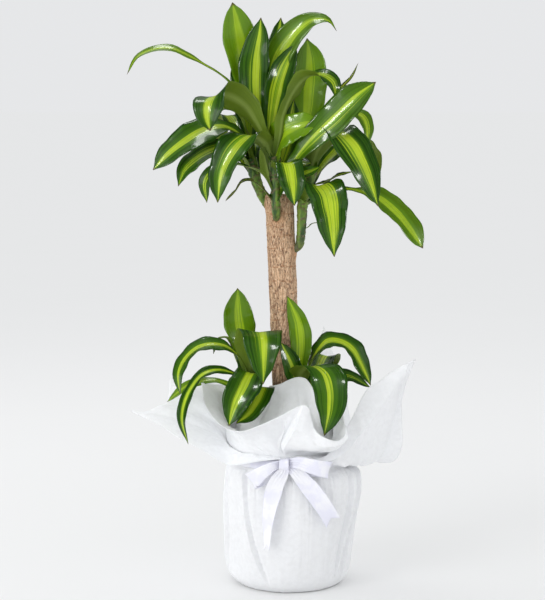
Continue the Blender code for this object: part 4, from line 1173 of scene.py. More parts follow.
def flare_line(out, neck_r, rim, via, fold, sharp):
    """The cloth's way from the tie up to a point of its free edge."""
    start = out * neck_r + Vector((0, 0, TIE_Z + NECK_HALF))
    rise = start + (Vector((0, 0, 0.07)) + out * 0.03) * (rim - start).length
    smooth = spline([start, rise, via, fold, rim], FLARE_STEPS)
    if sharp < 0.01:
        return smooth[1:]
    inner = (via - start).length + (fold - via).length
    turn = round(FLARE_STEPS * inner / (inner + (rim - fold).length))
    turn = max(2, min(FLARE_STEPS - 2, turn))
    folded = spline([start, rise, via, fold], turn) + spline([fold, rim], FLARE_STEPS - turn)[1:]
    return [a.lerp(b, sharp) for a, b in zip(smooth, folded)][1:]


def body_line(body, out, angle):
    """Up the outside of the wrapped pot, smoothly past each row of its table."""
    right, left, tall = [[(i, row[n]) for i, row in enumerate(body)] for n in range(3)]
    found = []
    for k in range(BODY_STEPS + 1):
        place = (len(body) - 1) * k / BODY_STEPS
        wide, narrow = smooth_value(right, place), smooth_value(left, place)
        radius = (wide + narrow) / 2 + (wide - narrow) / 2 * math.cos(angle)
        found.append(out * (radius * MM) + Vector((0, 0, smooth_value(tall, place) * MM)))
    return found


def creased(angle, turns, height):
    """Rounded folds with sharp valleys between them, round the pot: turns is about half their number."""
    place = Vector((math.cos(angle) * turns / 3, math.sin(angle) * turns / 3, height))
    return 1.8 * abs(noise.noise(place)) ** 0.85 - 0.35


def gathers(angle, distance, settings):
    """The small folds that the tie makes, opening and dying out with distance from it."""
    tight = min(1, distance / GATHER_OPENS)
    deep = 0.18 + 0.82 * tight * math.exp(-max(0, distance - GATHER_OPENS) / GATHER_DIES)
    fine = creased(angle, settings.pleats, distance * 8)
    wide = creased(angle, settings.pleats / 3, 5 + distance * 5)
    return settings.pleat_depth * deep * (fine * 0.75 + wide * 0.9 * tight)


def pleats(angle, height):
    """Overlapping pleats: each rises slowly to its fold's edge and drops sharply past it."""
    total, tall = 0.0, height / MM
    fade = min(1, max(0, (tall - PLEAT_LOW) / PLEAT_FADE_LOW))
    fade *= min(1, max(0, (PLEAT_HIGH - tall) / PLEAT_FADE_HIGH))
    for pleat in BODY_PLEATS:
        z = max(pleat.line[0][0], min(pleat.line[-1][0] - 0.01, tall))
        edge = math.radians(smooth_value(pleat.line, z))
        past = math.degrees(between_turns(angle - edge)) * math.copysign(1, pleat.width)
        off = past / abs(pleat.width)
        if -1 < off <= 0:
            total += pleat.depth * MM * fade * (1 + off) ** 2
        elif 0 < off and past < PLEAT_FALL + PLEAT_GROOVE:
            fall = min(1, past / PLEAT_FALL)
            climb = max(0, (past - PLEAT_FALL) / PLEAT_GROOVE)
            share = 1 - 1.35 * fall * fall * (3 - 2 * fall) + 0.35 * climb * climb * (3 - 2 * climb)
            total += pleat.depth * MM * fade * share
    return total


def body_relief(angle, height, settings):
    """The folds down the side of the wrapped pot, in metres out of its side."""
    foot = min(1, height / FOLD_FADES)
    place = Vector((math.cos(angle) * 2.6, math.sin(angle) * 2.6, height * 9))
    broad = noise.noise(place) * BROAD_FOLD * foot * min(1, (TIE_Z - height) / FOLD_FADES + 0.3)
    return broad + gathers(angle, max(0, GATHER_Z - height), settings)


def drawn_turn(angle):
    """The turn at which the cloth that lies at this angle up the pot passes the tie."""
    off = between_turns(DRAWN_TURN - angle)
    return angle + DRAWN_SHARE * off * math.exp(-(off / DRAWN_REACH) ** 2)


def sheet_column(spec, angle, neck_r, base_z, passed):
    """The cloth's way from under the pot to one point of its free edge, before it is folded."""
    drawn = drawn_turn(angle)
    out = Vector((math.cos(angle), math.sin(angle), 0))
    neck = Vector((math.cos(drawn), math.sin(drawn), 0))
    foot_r = spec.body[0][0] * MM
    line = [out * (foot_r * s / BASE_RINGS) + Vector((0, 0, base_z)) for s in range(1, BASE_RINGS)]
    line += body_line(spec.body, out, angle)
    last = line[-1]
    for i in range(1, NECK_STEPS + 1):
        t = i / NECK_STEPS
        flat = Vector((last.x, last.y, 0)).lerp(neck * neck_r, 1 - (1 - t) ** 2)
        line.append(Vector((flat.x, flat.y, last.z + (TIE_Z + NECK_HALF - last.z) * t)))
    return line + flare_line(neck, neck_r, *passed)


def sheet_relief(spec, points, settings):
    """How far each point of a sheet is folded out of its smooth way: points are rows by columns."""
    rows = len(points)
    relief = np.zeros(points.shape[:2])
    for k, (angle, _, _) in enumerate(compass(spec.columns)):
        drawn = drawn_turn(angle)
        for i in range(BODY_START + 2, rows):
            height = points[i, k, 2]
            if i < NECK_START:
                relief[i, k] = spec.full * (body_relief(angle, height, settings) + pleats(angle, height))
            elif i < FLARE_START:
                relief[i, k] = gathers(drawn, max(0, GATHER_Z - height), settings)
            else:
                way = np.linalg.norm(points[i, k] - points[FLARE_START - 1, k])
                share = (i - FLARE_START) / (rows - 1 - FLARE_START)
                soft = SOFT_FOLD * math.sin(math.pi * share) * creased(angle, 12, 9 + spec.layer)
                relief[i, k] = gathers(drawn, way, settings) * (1 - share) + soft
    return relief


def sheet(spec, finish, settings):
    """One square of fleece: flat under the pot, up its side, gathered at the tie, and flaring to its free
    edge."""
    neck_r = NECK_R - spec.layer * NECK_STEP
    base_z = spec.layer * NECK_STEP
    rims = edge_columns(spec.edge, neck_r, spec.columns)
    lines = [sheet_column(spec, angle, neck_r, base_z, passed)
             for (angle, _, _), passed in zip(compass(spec.columns), rims)]
    points = np.array([[tuple(p) for p in line] for line in lines]).transpose(1, 0, 2)
    wrapped = np.concatenate([points[:, -1:], points, points[:, :1]], axis=1)
    normal = grid_normals(wrapped)[:, 1:-1]
    points += normal * sheet_relief(spec, points, settings)[:, :, None]
    centre = points.shape[0] * spec.columns
    vertices = list(points.reshape(-1, 3)) + [np.array((0, 0, base_z))]
    faces = grid_faces(points.shape[0], spec.columns, 0, closed=True)
    faces += [((k + 1) % spec.columns, k, centre) for k in range(spec.columns)]
    obj = mesh_object(spec.name, vertices, faces, [finish])
    obj.data.set_sharp_from_angle(angle=SHEET_CREASE)
    return thickened(obj, settings.fleece_thickness, -1)


# Ribbon

def ribbon_strip(strip):
    """A strip of ribbon along its path: its vertices in rows, and their places over the flat ribbon."""
    path = spline(in_metres(strip.points), strip.steps)
    widths = [(i / (len(strip.widths) - 1), width) for i, width in enumerate(strip.widths)]
    along = tangents(path)
    rows, places, way = [], [], 0.0
    for i, (side, upper) in enumerate(blade_frames(path, strip.sides)):
        share = i / strip.steps
        way += (path[i] - path[i - 1]).length if i else 0
        half = smooth_value(widths, min(share, 0.9999)) / 2 * MM
        crease = strip.pucker * MM * max(0, 1 - share * 2.2) ** 1.5
        for t in np.linspace(-1, 1, RIBBON_COLUMNS):
            lift = crease * math.cos(5 * math.pi * t) + 0.10 * half * (1 - t * t)
            back = along[i] * (strip.notch * MM * (1 - abs(t)) * max(0, share * 5 - 4))
            rows.append(path[i] + side * (half * t) + upper * lift - back)
            places.append((t * RIBBON_W / 2, way))
    return rows, places


def bow(finish, settings):
    """The knot, two loops and two notched tails, tied as one."""
    vertices, faces, places = [], [], []
    for strip in BOW:
        points, spots = ribbon_strip(strip)
        faces += grid_faces(strip.steps + 1, RIBBON_COLUMNS, len(vertices))
        vertices += points
        places += spots
    obj = mesh_object("satin_bow", vertices, faces, [finish])
    flat_map(obj.data, places)
    return settle(thickened(obj, settings.ribbon_thickness, 0), "satin", "ribbon_bow")


def band(finish, settings):
    """The ribbon round the neck, lying over the gathers."""
    columns, rows = 240, 9
    vertices, places = [], []
    for t in np.linspace(-1, 1, rows):
        for angle, cosine, sine in compass(columns):
            ripple = 0.35 * MM * noise.noise(Vector((cosine * 9, sine * 9, t)))
            radius = NECK_R + 1.6 * MM + 0.4 * MM * (1 - t * t) + ripple
            vertices.append((radius * cosine, radius * sine, TIE_Z + t * BAND_HALF))
            places.append((t * BAND_HALF, angle * NECK_R))
    obj = mesh_object("satin_band", vertices, grid_faces(rows, columns, 0, closed=True), [finish])
    flat_map(obj.data, places)
    return settle(thickened(obj, settings.ribbon_thickness, 0), "satin", "ribbon_band")


# Materials

def set_or_link(tree, socket, value):
    """Links a socket to the value, or sets it where that is a plain one."""
    if isinstance(value, bpy.types.NodeSocket):
        tree.links.new(value, socket)
    else:
        socket.default_value = value


def put(tree, kind, props=None, inputs=None):
    """Adds a node, sets its properties, and links or sets its inputs by name or number."""
    node = tree.nodes.new(kind)
    for name, value in (props or {}).items():
        setattr(node, name, value)
    for name, value in (inputs or {}).items():
        set_or_link(tree, node.inputs[name], value)
    return node


def maths(tree, operation, *values, clamp=False):
    node = put(tree, "ShaderNodeMath", {"operation": operation, "use_clamp": clamp}, dict(enumerate(values)))
    return node.outputs[0]


def times(tree, first, second):
    return maths(tree, "MULTIPLY", first, second)


def times_plus(tree, first, second, third):
    return maths(tree, "MULTIPLY_ADD", first, second, third)


def vector_maths(tree, operation, inputs):
    return put(tree, "ShaderNodeVectorMath", {"operation": operation}, inputs).outputs[0]


def remap(tree, value, low, high, to_low=0.0, to_high=1.0):
    """A smooth step from one value to another while the given one goes from low to high."""
    node = put(tree, "ShaderNodeMapRange", {"interpolation_type": "SMOOTHSTEP"},
               {"Value": value, "From Min": low, "From Max": high, "To Min": to_low, "To Max": to_high})
    return node.outputs["Result"]


def blend(tree, share, first, second):
    """Mixes two colours."""
    node = put(tree, "ShaderNodeMix", {"data_type": "RGBA"}, {0: share})
    for number, value in ((6, first), (7, second)):
        is_colour = not isinstance(value, bpy.types.NodeSocket)
        set_or_link(tree, node.inputs[number], (*value, 1) if is_colour else value)
    return node.outputs[2]


def layered(tree, colour, *layers):
    """Lays colours over a first one, one after the other, each as (its share, itself)."""
    for share, over in layers:
        colour = blend(tree, share, colour, over)
    return colour


def dimmed(colour, share):
    return tuple(share * value for value in colour)


def values_of(tree, name):
    return put(tree, "ShaderNodeAttribute", {"attribute_name": name}).outputs["Fac"]


def object_place(tree):
    return put(tree, "ShaderNodeTexCoord").outputs["Object"]


def surface_place(tree):
    return put(tree, "ShaderNodeUVMap", {"uv_map": "surface"}).outputs[0]


def drawn_out(tree, place, height_scale):
    """The place with its height scaled, so that a pattern on it is drawn out upright."""
    scale = (1.0, 1.0, height_scale)
    return put(tree, "ShaderNodeMapping", None, {"Vector": place, "Scale": scale}).outputs[0]


def speckle(tree, place, scale, detail, roughness=0.5, distortion=0.0):
    """Noise in several octaves."""
    return put(tree, "ShaderNodeTexNoise", None, {
        "Vector": place, "Scale": scale, "Detail": detail, "Roughness": roughness, "Distortion": distortion,
    }).outputs["Fac"]


def from_border(tree, inputs, dimensions="3D"):
    """Distance from the borders between cells strewn by chance."""
    props = {"feature": "DISTANCE_TO_EDGE", "voronoi_dimensions": dimensions}
    return put(tree, "ShaderNodeTexVoronoi", props, inputs).outputs["Distance"]


def height_of(tree, place):
    """The height in a place."""
    return put(tree, "ShaderNodeSeparateXYZ", None, {0: place}).outputs["Z"]


def add_sockets(tree, way, sockets):
    """Adds a tree's own sockets, each (name, type) or (name, type, default)."""
    for label, kind, *default in sockets:
        made = tree.interface.new_socket(name=label, in_out=way, socket_type=kind)
        if default:
            made.default_value = default[0]


def shader_group(name, sockets, values):
    """An empty shader group with these inputs, which puts out values, and the sockets inside it."""
    group = bpy.data.node_groups.new(name, "ShaderNodeTree")
    add_sockets(group, "INPUT", sockets)
    add_sockets(group, "OUTPUT", [(label, "NodeSocketFloat") for label in values])
    return group, group.nodes.new("NodeGroupInput").outputs, group.nodes.new("NodeGroupOutput").inputs


def streaks_group():
    """Long fine streaks, as of leaf veins or satin threads: X runs across them and Y along."""
    found = bpy.data.node_groups.get("Streaks")
    if found:
        return found
    group, given, out = shader_group("Streaks", (
        ("Vector", "NodeSocketVector"),
        ("Across", "NodeSocketFloat", 900.0),
        ("Along", "NodeSocketFloat", 10.0),
        ("Seed", "NodeSocketFloat", 0.0),
    ), ("Fine", "Broad"))
    parts = put(group, "ShaderNodeSeparateXYZ", None, {0: given["Vector"]}).outputs
    depth = times(group, given["Seed"], 37.0)
    for label, share in (("Fine", 1.0), ("Broad", 0.28)):
        x = times(group, parts["X"], times(group, given["Across"], share))
        y = times(group, parts["Y"], times(group, given["Along"], share))
        place = put(group, "ShaderNodeCombineXYZ", None, {0: x, 1: y, 2: depth}).outputs[0]
        group.links.new(speckle(group, place, 1.0, 2.0, 0.6), out[label])
    return group


def mottle_group():
    """Soft cloudy variation through the object, at two sizes."""
    found = bpy.data.node_groups.get("Mottle")
    if found:
        return found
    group, given, out = shader_group("Mottle", (
        ("Vector", "NodeSocketVector"),
        ("Scale", "NodeSocketFloat", 40.0),
        ("Roughness", "NodeSocketFloat", 0.55),
    ), ("Cloud", "Grain"))
    for label, share, detail in (("Cloud", 1.0, 3.0), ("Grain", 14.0, 5.0)):
        scale = times(group, given["Scale"], share)
        group.links.new(speckle(group, given["Vector"], scale, detail, given["Roughness"]), out[label])
    return group


def streaks(tree, **inputs):
    """Fine and broad streaks over the piece's own map."""
    values = {name.title(): value for name, value in inputs.items()}
    return put(tree, "ShaderNodeGroup", {"node_tree": streaks_group()},
               {"Vector": surface_place(tree), **values}).outputs


def mottle(tree, place, scale, roughness=0.55):
    """Clouds and grain through the object."""
    return put(tree, "ShaderNodeGroup", {"node_tree": mottle_group()},
               {"Vector": place, "Scale": scale, "Roughness": roughness}).outputs


def new_material(name, colour):
    """A material with its tree emptied but for the shader, and the colour it shows in the viewport."""
    made = bpy.data.materials.new(name)
    made.use_nodes = True
    made.diffuse_color = (*colour, 1)
    return made, made.node_tree


def feed(tree, inputs):
    """Sets or links the shader's inputs."""
    shader = tree.nodes["Principled BSDF"]
    for name, value in inputs.items():
        set_or_link(tree, shader.inputs[name], value)


def bump(tree, height, distance, strength=1.0):
    """A normal that shows the given heights, distance deep."""
    inputs = {"Height": height, "Distance": distance, "Strength": strength}
    return put(tree, "ShaderNodeBump", None, inputs).outputs[0]


def leaf_masks(tree, settings):
    """What lies where on a leaf: the mesh's own values, streaks along the veins, the distance from the
    midrib, and the band, which is ragged and narrows towards the tip."""
    names = ("across", "along", "seed", "under", "dry", "lit", "band")
    mask = {name: values_of(tree, name) for name in names}
    veins = streaks(tree, across=1300.0, along=7.0, seed=mask["seed"])
    mask["fine"], mask["broad"] = veins["Fine"], veins["Broad"]
    off = times(tree, maths(tree, "SUBTRACT", mask["seed"], 0.5), BAND_OFF)
    mask["from rib"] = ragged = maths(tree, "ABSOLUTE", maths(tree, "ADD", mask["across"], off))
    for name, depth in BAND_RAGGED:
        ragged = times_plus(tree, maths(tree, "SUBTRACT", mask[name], 0.5), depth, ragged)
    inner = times(tree, remap(tree, mask["along"], 0.55, 1.0, 1.0, 0.5), settings.band_share)
    inner = times(tree, inner, times_plus(tree, mask["seed"], BAND_SPREAD, BAND_LEAST))
    inner = times(tree, inner, mask["band"])
    outer = maths(tree, "ADD", inner, BAND_SOFT)
    mask["in band"] = maths(tree, "SUBTRACT", 1.0, remap(tree, ragged, inner, outer))
    return mask


def leaf_colour(tree, settings, mask):
    """Dark margins round a paler band above, both streaked, a duller face beneath, a dry tip, painted light
    and painted root shade.
    """
    fine, broad, from_rib, along, lit = [mask[name] for name in ("fine", "broad", "from rib", "along", "lit")]
    cloud = mottle(tree, object_place(tree), 30.0)["Cloud"]
    margin = layered(
        tree, settings.margin,
        (remap(tree, broad, 0.38, 0.66), MARGIN_STREAK),
        (remap(tree, from_rib, 0.35, 0.62, 0.45, 0.0), MARGIN_INNER),
        (remap(tree, from_rib, 0.75, 1.0, 0.0, 0.7), MARGIN_RIM),
        # Painted light: the margin brightened as if light shone through the blade.
        (times(tree, lit, 0.8), MARGIN_PAINTED_LIGHT),
    )
    band = layered(
        tree, settings.band,
        (remap(tree, fine, 0.35, 0.65), BAND_PALE),
        (remap(tree, broad, 0.53, 0.59, 0.0, 0.85), BAND_STREAK),
        # Painted light: the band brightened as if light shone through the blade.
        (times(tree, lit, 0.7), BAND_PAINTED_LIGHT),
    )
    beneath = layered(
        tree, settings.under,
        (remap(tree, from_rib, 0.04, 0.40, 0.8, 0.0), UNDER_RIB),
        (remap(tree, fine, 0.3, 0.7, 0.0, 0.35), UNDER_STREAK),
        # Painted light: the face beneath brightened as if light shone through the blade.
        (times(tree, lit, 0.6), UNDER_PAINTED_LIGHT),
    )
    dry = maths(tree, "ADD", remap(tree, along, 0.972, 0.992, 0.0, 0.9), mask["dry"], clamp=True)
    return layered(
        tree, margin,
        (mask["in band"], band),
        (remap(tree, cloud, 0.35, 0.7, 0.0, 0.2), UPPER_CLOUD),
        (mask["under"], beneath),
        # Painted shade: darker towards each leaf's root, where the leaves crowd together.
        (remap(tree, along, 0.02, 0.30, 0.6, 0.0), LEAF_ROOT_PAINTED_SHADE),
        (dry, blend(tree, fine, DRY_DARK, DRY_PALE)),
    )


def leaf_material(settings):
    """Waxy leaf blades with a yellow-green band down the middle, duller beneath."""
    made, tree = new_material("leaf_blade", settings.margin)
    mask = leaf_masks(tree, settings)
    fine, broad, under = mask["fine"], mask["broad"], mask["under"]
    feed(tree, {
        "Base Color": leaf_colour(tree, settings, mask),
        "Roughness": times_plus(tree, under, 0.25, remap(tree, broad, 0.3, 0.7, 0.26, 0.38)),
        "Normal": bump(tree, maths(tree, "ADD", fine, broad), 0.35 * MM, 0.6),
        "IOR": 1.45,
        "Specular IOR Level": 0.15,
        "Coat Weight": times_plus(tree, under, -0.25, 0.33),
        "Coat Roughness": 0.11,
        "Subsurface Weight": 0.08,
        "Subsurface Radius": (0.6, 1.0, 0.15),
        "Subsurface Scale": 1.5 * MM,
    })
    return made


def stem_material():
    """Green young stem in the sheaths of old leaves, whose torn edges are dry and brown."""
    made, tree = new_material("leaf_stem", STEM_GREEN)
    cloud = mottle(tree, drawn_out(tree, object_place(tree), 0.2), 120.0)
    green = blend(tree, remap(tree, cloud["Cloud"], 0.35, 0.65), STEM_DARK, STEM_PALE)
    brown = blend(tree, cloud["Grain"], SHEATH_DARK, SHEATH_PALE)
    foot = remap(tree, values_of(tree, "along"), 0.0, 0.35, 0.65, 0.0)
    worn = maths(tree, "ADD", foot, remap(tree, cloud["Cloud"], 0.5, 0.7, -0.2, 0.3), clamp=True)
    torn = maths(tree, "MAXIMUM", worn, values_of(tree, "dry"))
    feed(tree, {
        "Base Color": blend(tree, torn, green, brown),
        "Roughness": 0.5,
        "Normal": bump(tree, cloud["Grain"], 0.4 * MM),
    })
    return made


def bark_material(settings):
    """Dry tan bark with dark fissures, pale flakes and rusty leaf scars, darker towards its foot."""
    made, tree = new_material("cane_bark", settings.tan)
    place = object_place(tree)
    upright = drawn_out(tree, place, 0.11)
    fibres = mottle(tree, upright, 120.0, 0.65)
    clouds = mottle(tree, place, 26.0)
    fibre, grain = fibres["Cloud"], fibres["Grain"]
    shaken = vector_maths(tree, "SCALE", {0: upright, "Scale": 420.0})
    shaken = vector_maths(tree, "ADD", {0: shaken, 1: fibre})
    flakes = from_border(tree, {"Vector": shaken, "Scale": 1.0})
    split = times(tree, remap(tree, flakes, 0.0, 0.10, 1.0, 0.0), remap(tree, clouds["Grain"], 0.4, 0.6))
    colour = layered(
        tree, BARK_DULL,
        (remap(tree, fibre, 0.34, 0.54), settings.tan),
        (remap(tree, grain, 0.47, 0.61, 0.0, 0.9), BARK_FLAKE),
        (remap(tree, grain, 0.34, 0.45, 0.9, 0.0), BARK_GRAIN),
        (remap(tree, clouds["Cloud"], 0.55, 0.72, 0.0, 0.4), BARK_CLOUD),
        (times(tree, split, 0.95), settings.deep),
        (times(tree, values_of(tree, "ring"), 0.95), BARK_SCAR),
        (times(tree, values_of(tree, "collar"), 0.8), BARK_COLLAR),
        (times(tree, values_of(tree, "crack"), 0.75), settings.deep),
        # Darker towards the foot of the cane.
        (remap(tree, height_of(tree, place), 0.20, 0.29, 0.75, 0.0), BARK_FOOT_DARK),
    )
    rough = maths(tree, "SUBTRACT", maths(tree, "ADD", grain, fibre), split)
    feed(tree, {"Base Color": colour, "Roughness": 0.88, "Normal": bump(tree, rough, 0.8 * MM)})
    return made


def soil_material(settings):
    """Dark crumbly earth with a few pale fibres."""
    made, tree = new_material("potting_mix", settings.earth)
    cloud = mottle(tree, object_place(tree), 90.0)
    colour = layered(
        tree, settings.earth,
        (remap(tree, cloud["Cloud"], 0.35, 0.65), SOIL_PALE),
        (remap(tree, cloud["Grain"], 0.62, 0.70, 0.0, 0.6), SOIL_FIBRE),
    )
    feed(tree, {"Base Color": colour, "Roughness": 0.95, "Normal": bump(tree, cloud["Grain"], 0.8 * MM)})
    return made


def pot_material(settings):
    """Matt brown plastic, a little scuffed."""
    made, tree = new_material("nursery_plastic", settings.pot)
    cloud = mottle(tree, object_place(tree), 30.0)
    feed(tree, {
        "Base Color": blend(tree, remap(tree, cloud["Cloud"], 0.4, 0.7, 0.0, 0.5), settings.pot, POT_SCUFF),
        "Roughness": remap(tree, cloud["Grain"], 0.3, 0.7, 0.42, 0.6),
        "Normal": bump(tree, cloud["Grain"], 0.1 * MM),
    })
    return made


def fleece_material(settings):
    """Soft non-woven fleece: a cloudy web of fine fibres, a little rumpled."""
    made, tree = new_material("white_fleece", settings.fleece)
    place = object_place(tree)
    web = speckle(tree, place, 520.0, 4.0, 0.7, 1.6)
    cloud = mottle(tree, place, 150.0)["Cloud"]
    rumple = mottle(tree, drawn_out(tree, place, 0.35), 55.0)["Cloud"]
    full = times(tree, remap(tree, cloud, 0.34, 0.62), remap(tree, rumple, 0.34, 0.60, 0.5, 1.0))
    colour = layered(
        tree, dimmed(settings.fleece, 0.95),
        (full, settings.fleece),
        (remap(tree, web, 0.30, 0.48, 0.25, 0.0), FLEECE_THIN),
    )
    feed(tree, {
        "Base Color": colour,
        "Roughness": 0.9,
        "Normal": bump(tree, times_plus(tree, rumple, 7.0, web), 0.25 * MM, 0.5),
        "Sheen Weight": 0.15,
        "Subsurface Weight": 0.35,
        "Subsurface Radius": (1.0, 1.0, 1.0),
        "Subsurface Scale": 3 * MM,
    })
    return made


def satin_material(settings):
    """White satin: fine threads along the ribbon, a soft shine across it, and paler clouds of painted sheen.
    """
    made, tree = new_material("white_satin", settings.satin)
    threads = streaks(tree, across=4200.0, along=90.0)
    cloud = mottle(tree, object_place(tree), 42.0)["Cloud"]
    colour = layered(
        tree, settings.satin,
        # Painted sheen: paler clouds, as of light shining on the satin.
        (remap(tree, cloud, 0.40, 0.60), SATIN_PAINTED_SHEEN),
        (remap(tree, threads["Broad"], 0.35, 0.65, 0.2, 0.0), SATIN_SHADE),
    )
    feed(tree, {
        "Base Color": colour,
        "Roughness": remap(tree, threads["Fine"], 0.3, 0.7, 0.26, 0.36),
        "Normal": bump(tree, threads["Fine"], 0.02 * MM, 0.2),
        "Sheen Weight": 0.2,
    })
    return made


# Geometry Nodes trees

def geometry_tree(name, sockets):
    """A tree with geometry in and out and its named inputs, and those inputs' sockets."""
    tree = bpy.data.node_groups.new(name, "GeometryNodeTree")
    add_sockets(tree, "INPUT", (("Geometry", "NodeSocketGeometry"), *sockets))
    add_sockets(tree, "OUTPUT", (("Geometry", "NodeSocketGeometry"),))
    return tree, tree.nodes.new("NodeGroupInput").outputs


def end_tree(tree, geometry, finish):
    """Ends a tree in real faces that wear the finish."""
    real = put(tree, "GeometryNodeRealizeInstances", None, {"Geometry": geometry}).outputs[0]
    done = put(tree, "GeometryNodeSetMaterial", None, {"Geometry": real, "Material": finish}).outputs[0]
    put(tree, "NodeGroupOutput", None, {"Geometry": done})
    return tree


def stored(tree, geometry, name, value):
    """Keeps a value for each point, under a name that the finish reads."""
    node = put(tree, "GeometryNodeStoreNamedAttribute", {"data_type": "FLOAT", "domain": "POINT"},
               {"Geometry": geometry, "Name": name, "Value": value})
    return node.outputs[0]


def bark_tree():
    """Splits a smooth cane into plates of bark, deeper towards its foot, ringed by leaf scars."""
    tree, given = geometry_tree("Split Bark", (
        ("Fissure Depth", "NodeSocketFloat", 1.1 * MM),
        ("Plate Width", "NodeSocketFloat", 6.5 * MM),
        ("Ring Gap", "NodeSocketFloat", 18 * MM),
        ("Material", "NodeSocketMaterial"),
    ))
    place = put(tree, "GeometryNodeInputPosition").outputs[0]
    height = height_of(tree, place)
    wander = speckle(tree, place, 60.0, 3.0)
    squeezed = vector_maths(tree, "MULTIPLY", {0: place, 1: (1.0, 1.0, 0.26)})
    bent = vector_maths(tree, "MULTIPLY_ADD", {0: wander, 1: (0.006, 0.006, 0.006), 2: squeezed})
    gap = from_border(tree, {"Vector": bent, "Scale": maths(tree, "DIVIDE", 1.0, given["Plate Width"])})
    worn = remap(tree, height, 0.24, 0.46, 1.0, 0.35)
    crack = times(tree, remap(tree, gap, 0.0, 0.11, 1.0, 0.0), worn)
    turns = maths(tree, "DIVIDE", times_plus(tree, wander, 0.012, height), given["Ring Gap"])
    scar = from_border(tree, {"W": turns, "Scale": 1.0}, "1D")
    ring = times(tree, remap(tree, scar, 0.0, 0.035, 1.0, 0.0), remap(tree, height, 0.30, 0.38, 0.2, 1.0))
    lumps = speckle(tree, squeezed, 120.0, 4.0)
    rise = times(tree, crack, times(tree, given["Fissure Depth"], -1.0))
    rise = times_plus(tree, maths(tree, "SUBTRACT", lumps, 0.5), 2.6 * MM, rise)
    rise = times_plus(tree, ring, 0.35 * MM, rise)
    above = remap(tree, height, SOIL_TOP_Z - 4 * MM, SOIL_TOP_Z + 2 * MM)
    normal = put(tree, "GeometryNodeInputNormal").outputs[0]
    offset = vector_maths(tree, "SCALE", {0: normal, "Scale": times(tree, rise, above)})
    kept = stored(tree, stored(tree, given["Geometry"], "crack", crack), "ring", ring)
    moved = put(tree, "GeometryNodeSetPosition", None, {"Geometry": kept, "Offset": offset}).outputs[0]
    return end_tree(tree, moved, given["Material"])


def crumb_tree():
    """Strews crumbs over the top of the soil."""
    tree, given = geometry_tree("Soil Crumbs", (
        ("Crumbs", "NodeSocketFloat", 90000.0),
        ("Crumb Size", "NodeSocketFloat", 1.5 * MM),
        ("Floor", "NodeSocketFloat", SOIL_TOP_Z),
        ("Seed", "NodeSocketInt", 4),
        ("Material", "NodeSocketMaterial"),
    ))
    seed = given["Seed"]
    height = height_of(tree, put(tree, "GeometryNodeInputPosition").outputs[0])
    on_top = put(tree, "FunctionNodeCompare", {"data_type": "FLOAT", "operation": "GREATER_THAN"}, {
        0: height, 1: given["Floor"]}).outputs[0]
    points = put(tree, "GeometryNodeDistributePointsOnFaces", None, {
        "Mesh": given["Geometry"], "Selection": on_top, "Density": given["Crumbs"], "Seed": seed,
    }).outputs["Points"]
    crumb = put(tree, "GeometryNodeMeshIcoSphere", None, {"Radius": 1.0, "Subdivisions": 1}).outputs["Mesh"]
    spin = put(tree, "FunctionNodeRandomValue", {"data_type": "FLOAT_VECTOR"}, {
        1: (math.tau, math.tau, math.tau), "Seed": seed}).outputs[0]
    size = put(tree, "FunctionNodeRandomValue", {"data_type": "FLOAT_VECTOR"}, {
        0: (0.4, 0.3, 0.25), 1: (1.5, 1.1, 0.9), "Seed": seed}).outputs[0]
    size = vector_maths(tree, "SCALE", {0: size, "Scale": given["Crumb Size"]})
    strewn = put(tree, "GeometryNodeInstanceOnPoints", None, {
        "Points": points, "Instance": crumb, "Rotation": spin, "Scale": size}).outputs[0]
    both = put(tree, "GeometryNodeJoinGeometry")
    tree.links.new(strewn, both.inputs[0])
    tree.links.new(given["Geometry"], both.inputs[0])
    return end_tree(tree, both.outputs[0], given["Material"])


# Operators

class CORNPLANT_OT_shoots(bpy.types.Operator):
    """Make the leafy shoots at the cane's crown and foot"""
    bl_idname = "cornplant.shoots"
    bl_label = "Leafy Shoots"

    def execute(self, context):
        settings = context.scene.corn_leaves
        finishes = (leaf_material(settings), stem_material())
        for spec in SHOOTS:
            shoot(spec, finishes, settings)
        return {"FINISHED"}


class CORNPLANT_OT_cane(bpy.types.Operator):
    """Make the woody cane with its split bark"""
    bl_idname = "cornplant.cane"
    bl_label = "Cane"

    def execute(self, context):
        settings = context.scene.corn_bark
        cane(bark_material(settings), settings)
        return {"FINISHED"}


class CORNPLANT_OT_pot(bpy.types.Operator):
    """Make the nursery pot and the potting mix in it"""
    bl_idname = "cornplant.pot"
    bl_label = "Pot and Potting Mix"

    def execute(self, context):
        settings = context.scene.corn_soil
        pot(pot_material(settings))
        soil(soil_material(settings), settings)
        return {"FINISHED"}


class CORNPLANT_OT_sheets(bpy.types.Operator):
    """Make the three gathered sheets of fleece"""
    bl_idname = "cornplant.sheets"
    bl_label = "Fleece Sheets"

    def execute(self, context):
        settings = context.scene.corn_wrap
        finish = fleece_material(settings)
        for spec in SHEETS:
            made, side = sheet(spec, finish, settings), spec.side
            settle(made, "fleece", spec.node)
        return {"FINISHED"}


class CORNPLANT_OT_ribbon(bpy.types.Operator):
    """Make the satin ribbon round the neck and its bow"""
    bl_idname = "cornplant.ribbon"
    bl_label = "Ribbon"

    def execute(self, context):
        settings = context.scene.corn_wrap
        finish = satin_material(settings)
        band(finish, settings)
        bow(finish, settings)
        return {"FINISHED"}


class CORNPLANT_OT_stage(bpy.types.Operator):
    """Make the pale floor, the soft lights and the camera"""
    bl_idname = "cornplant.stage"
    bl_label = "Stage"

    def execute(self, context):
        settings = context.scene.corn_stage
        floor(settings)
        world(settings)
        soft_light(WINDOW, settings.window)
        soft_light(KEY, settings.key)
        for glint in GLINTS:
            soft_light(glint, settings.glint, only_shines=True)
        camera(context.scene)
        return {"FINISHED"}


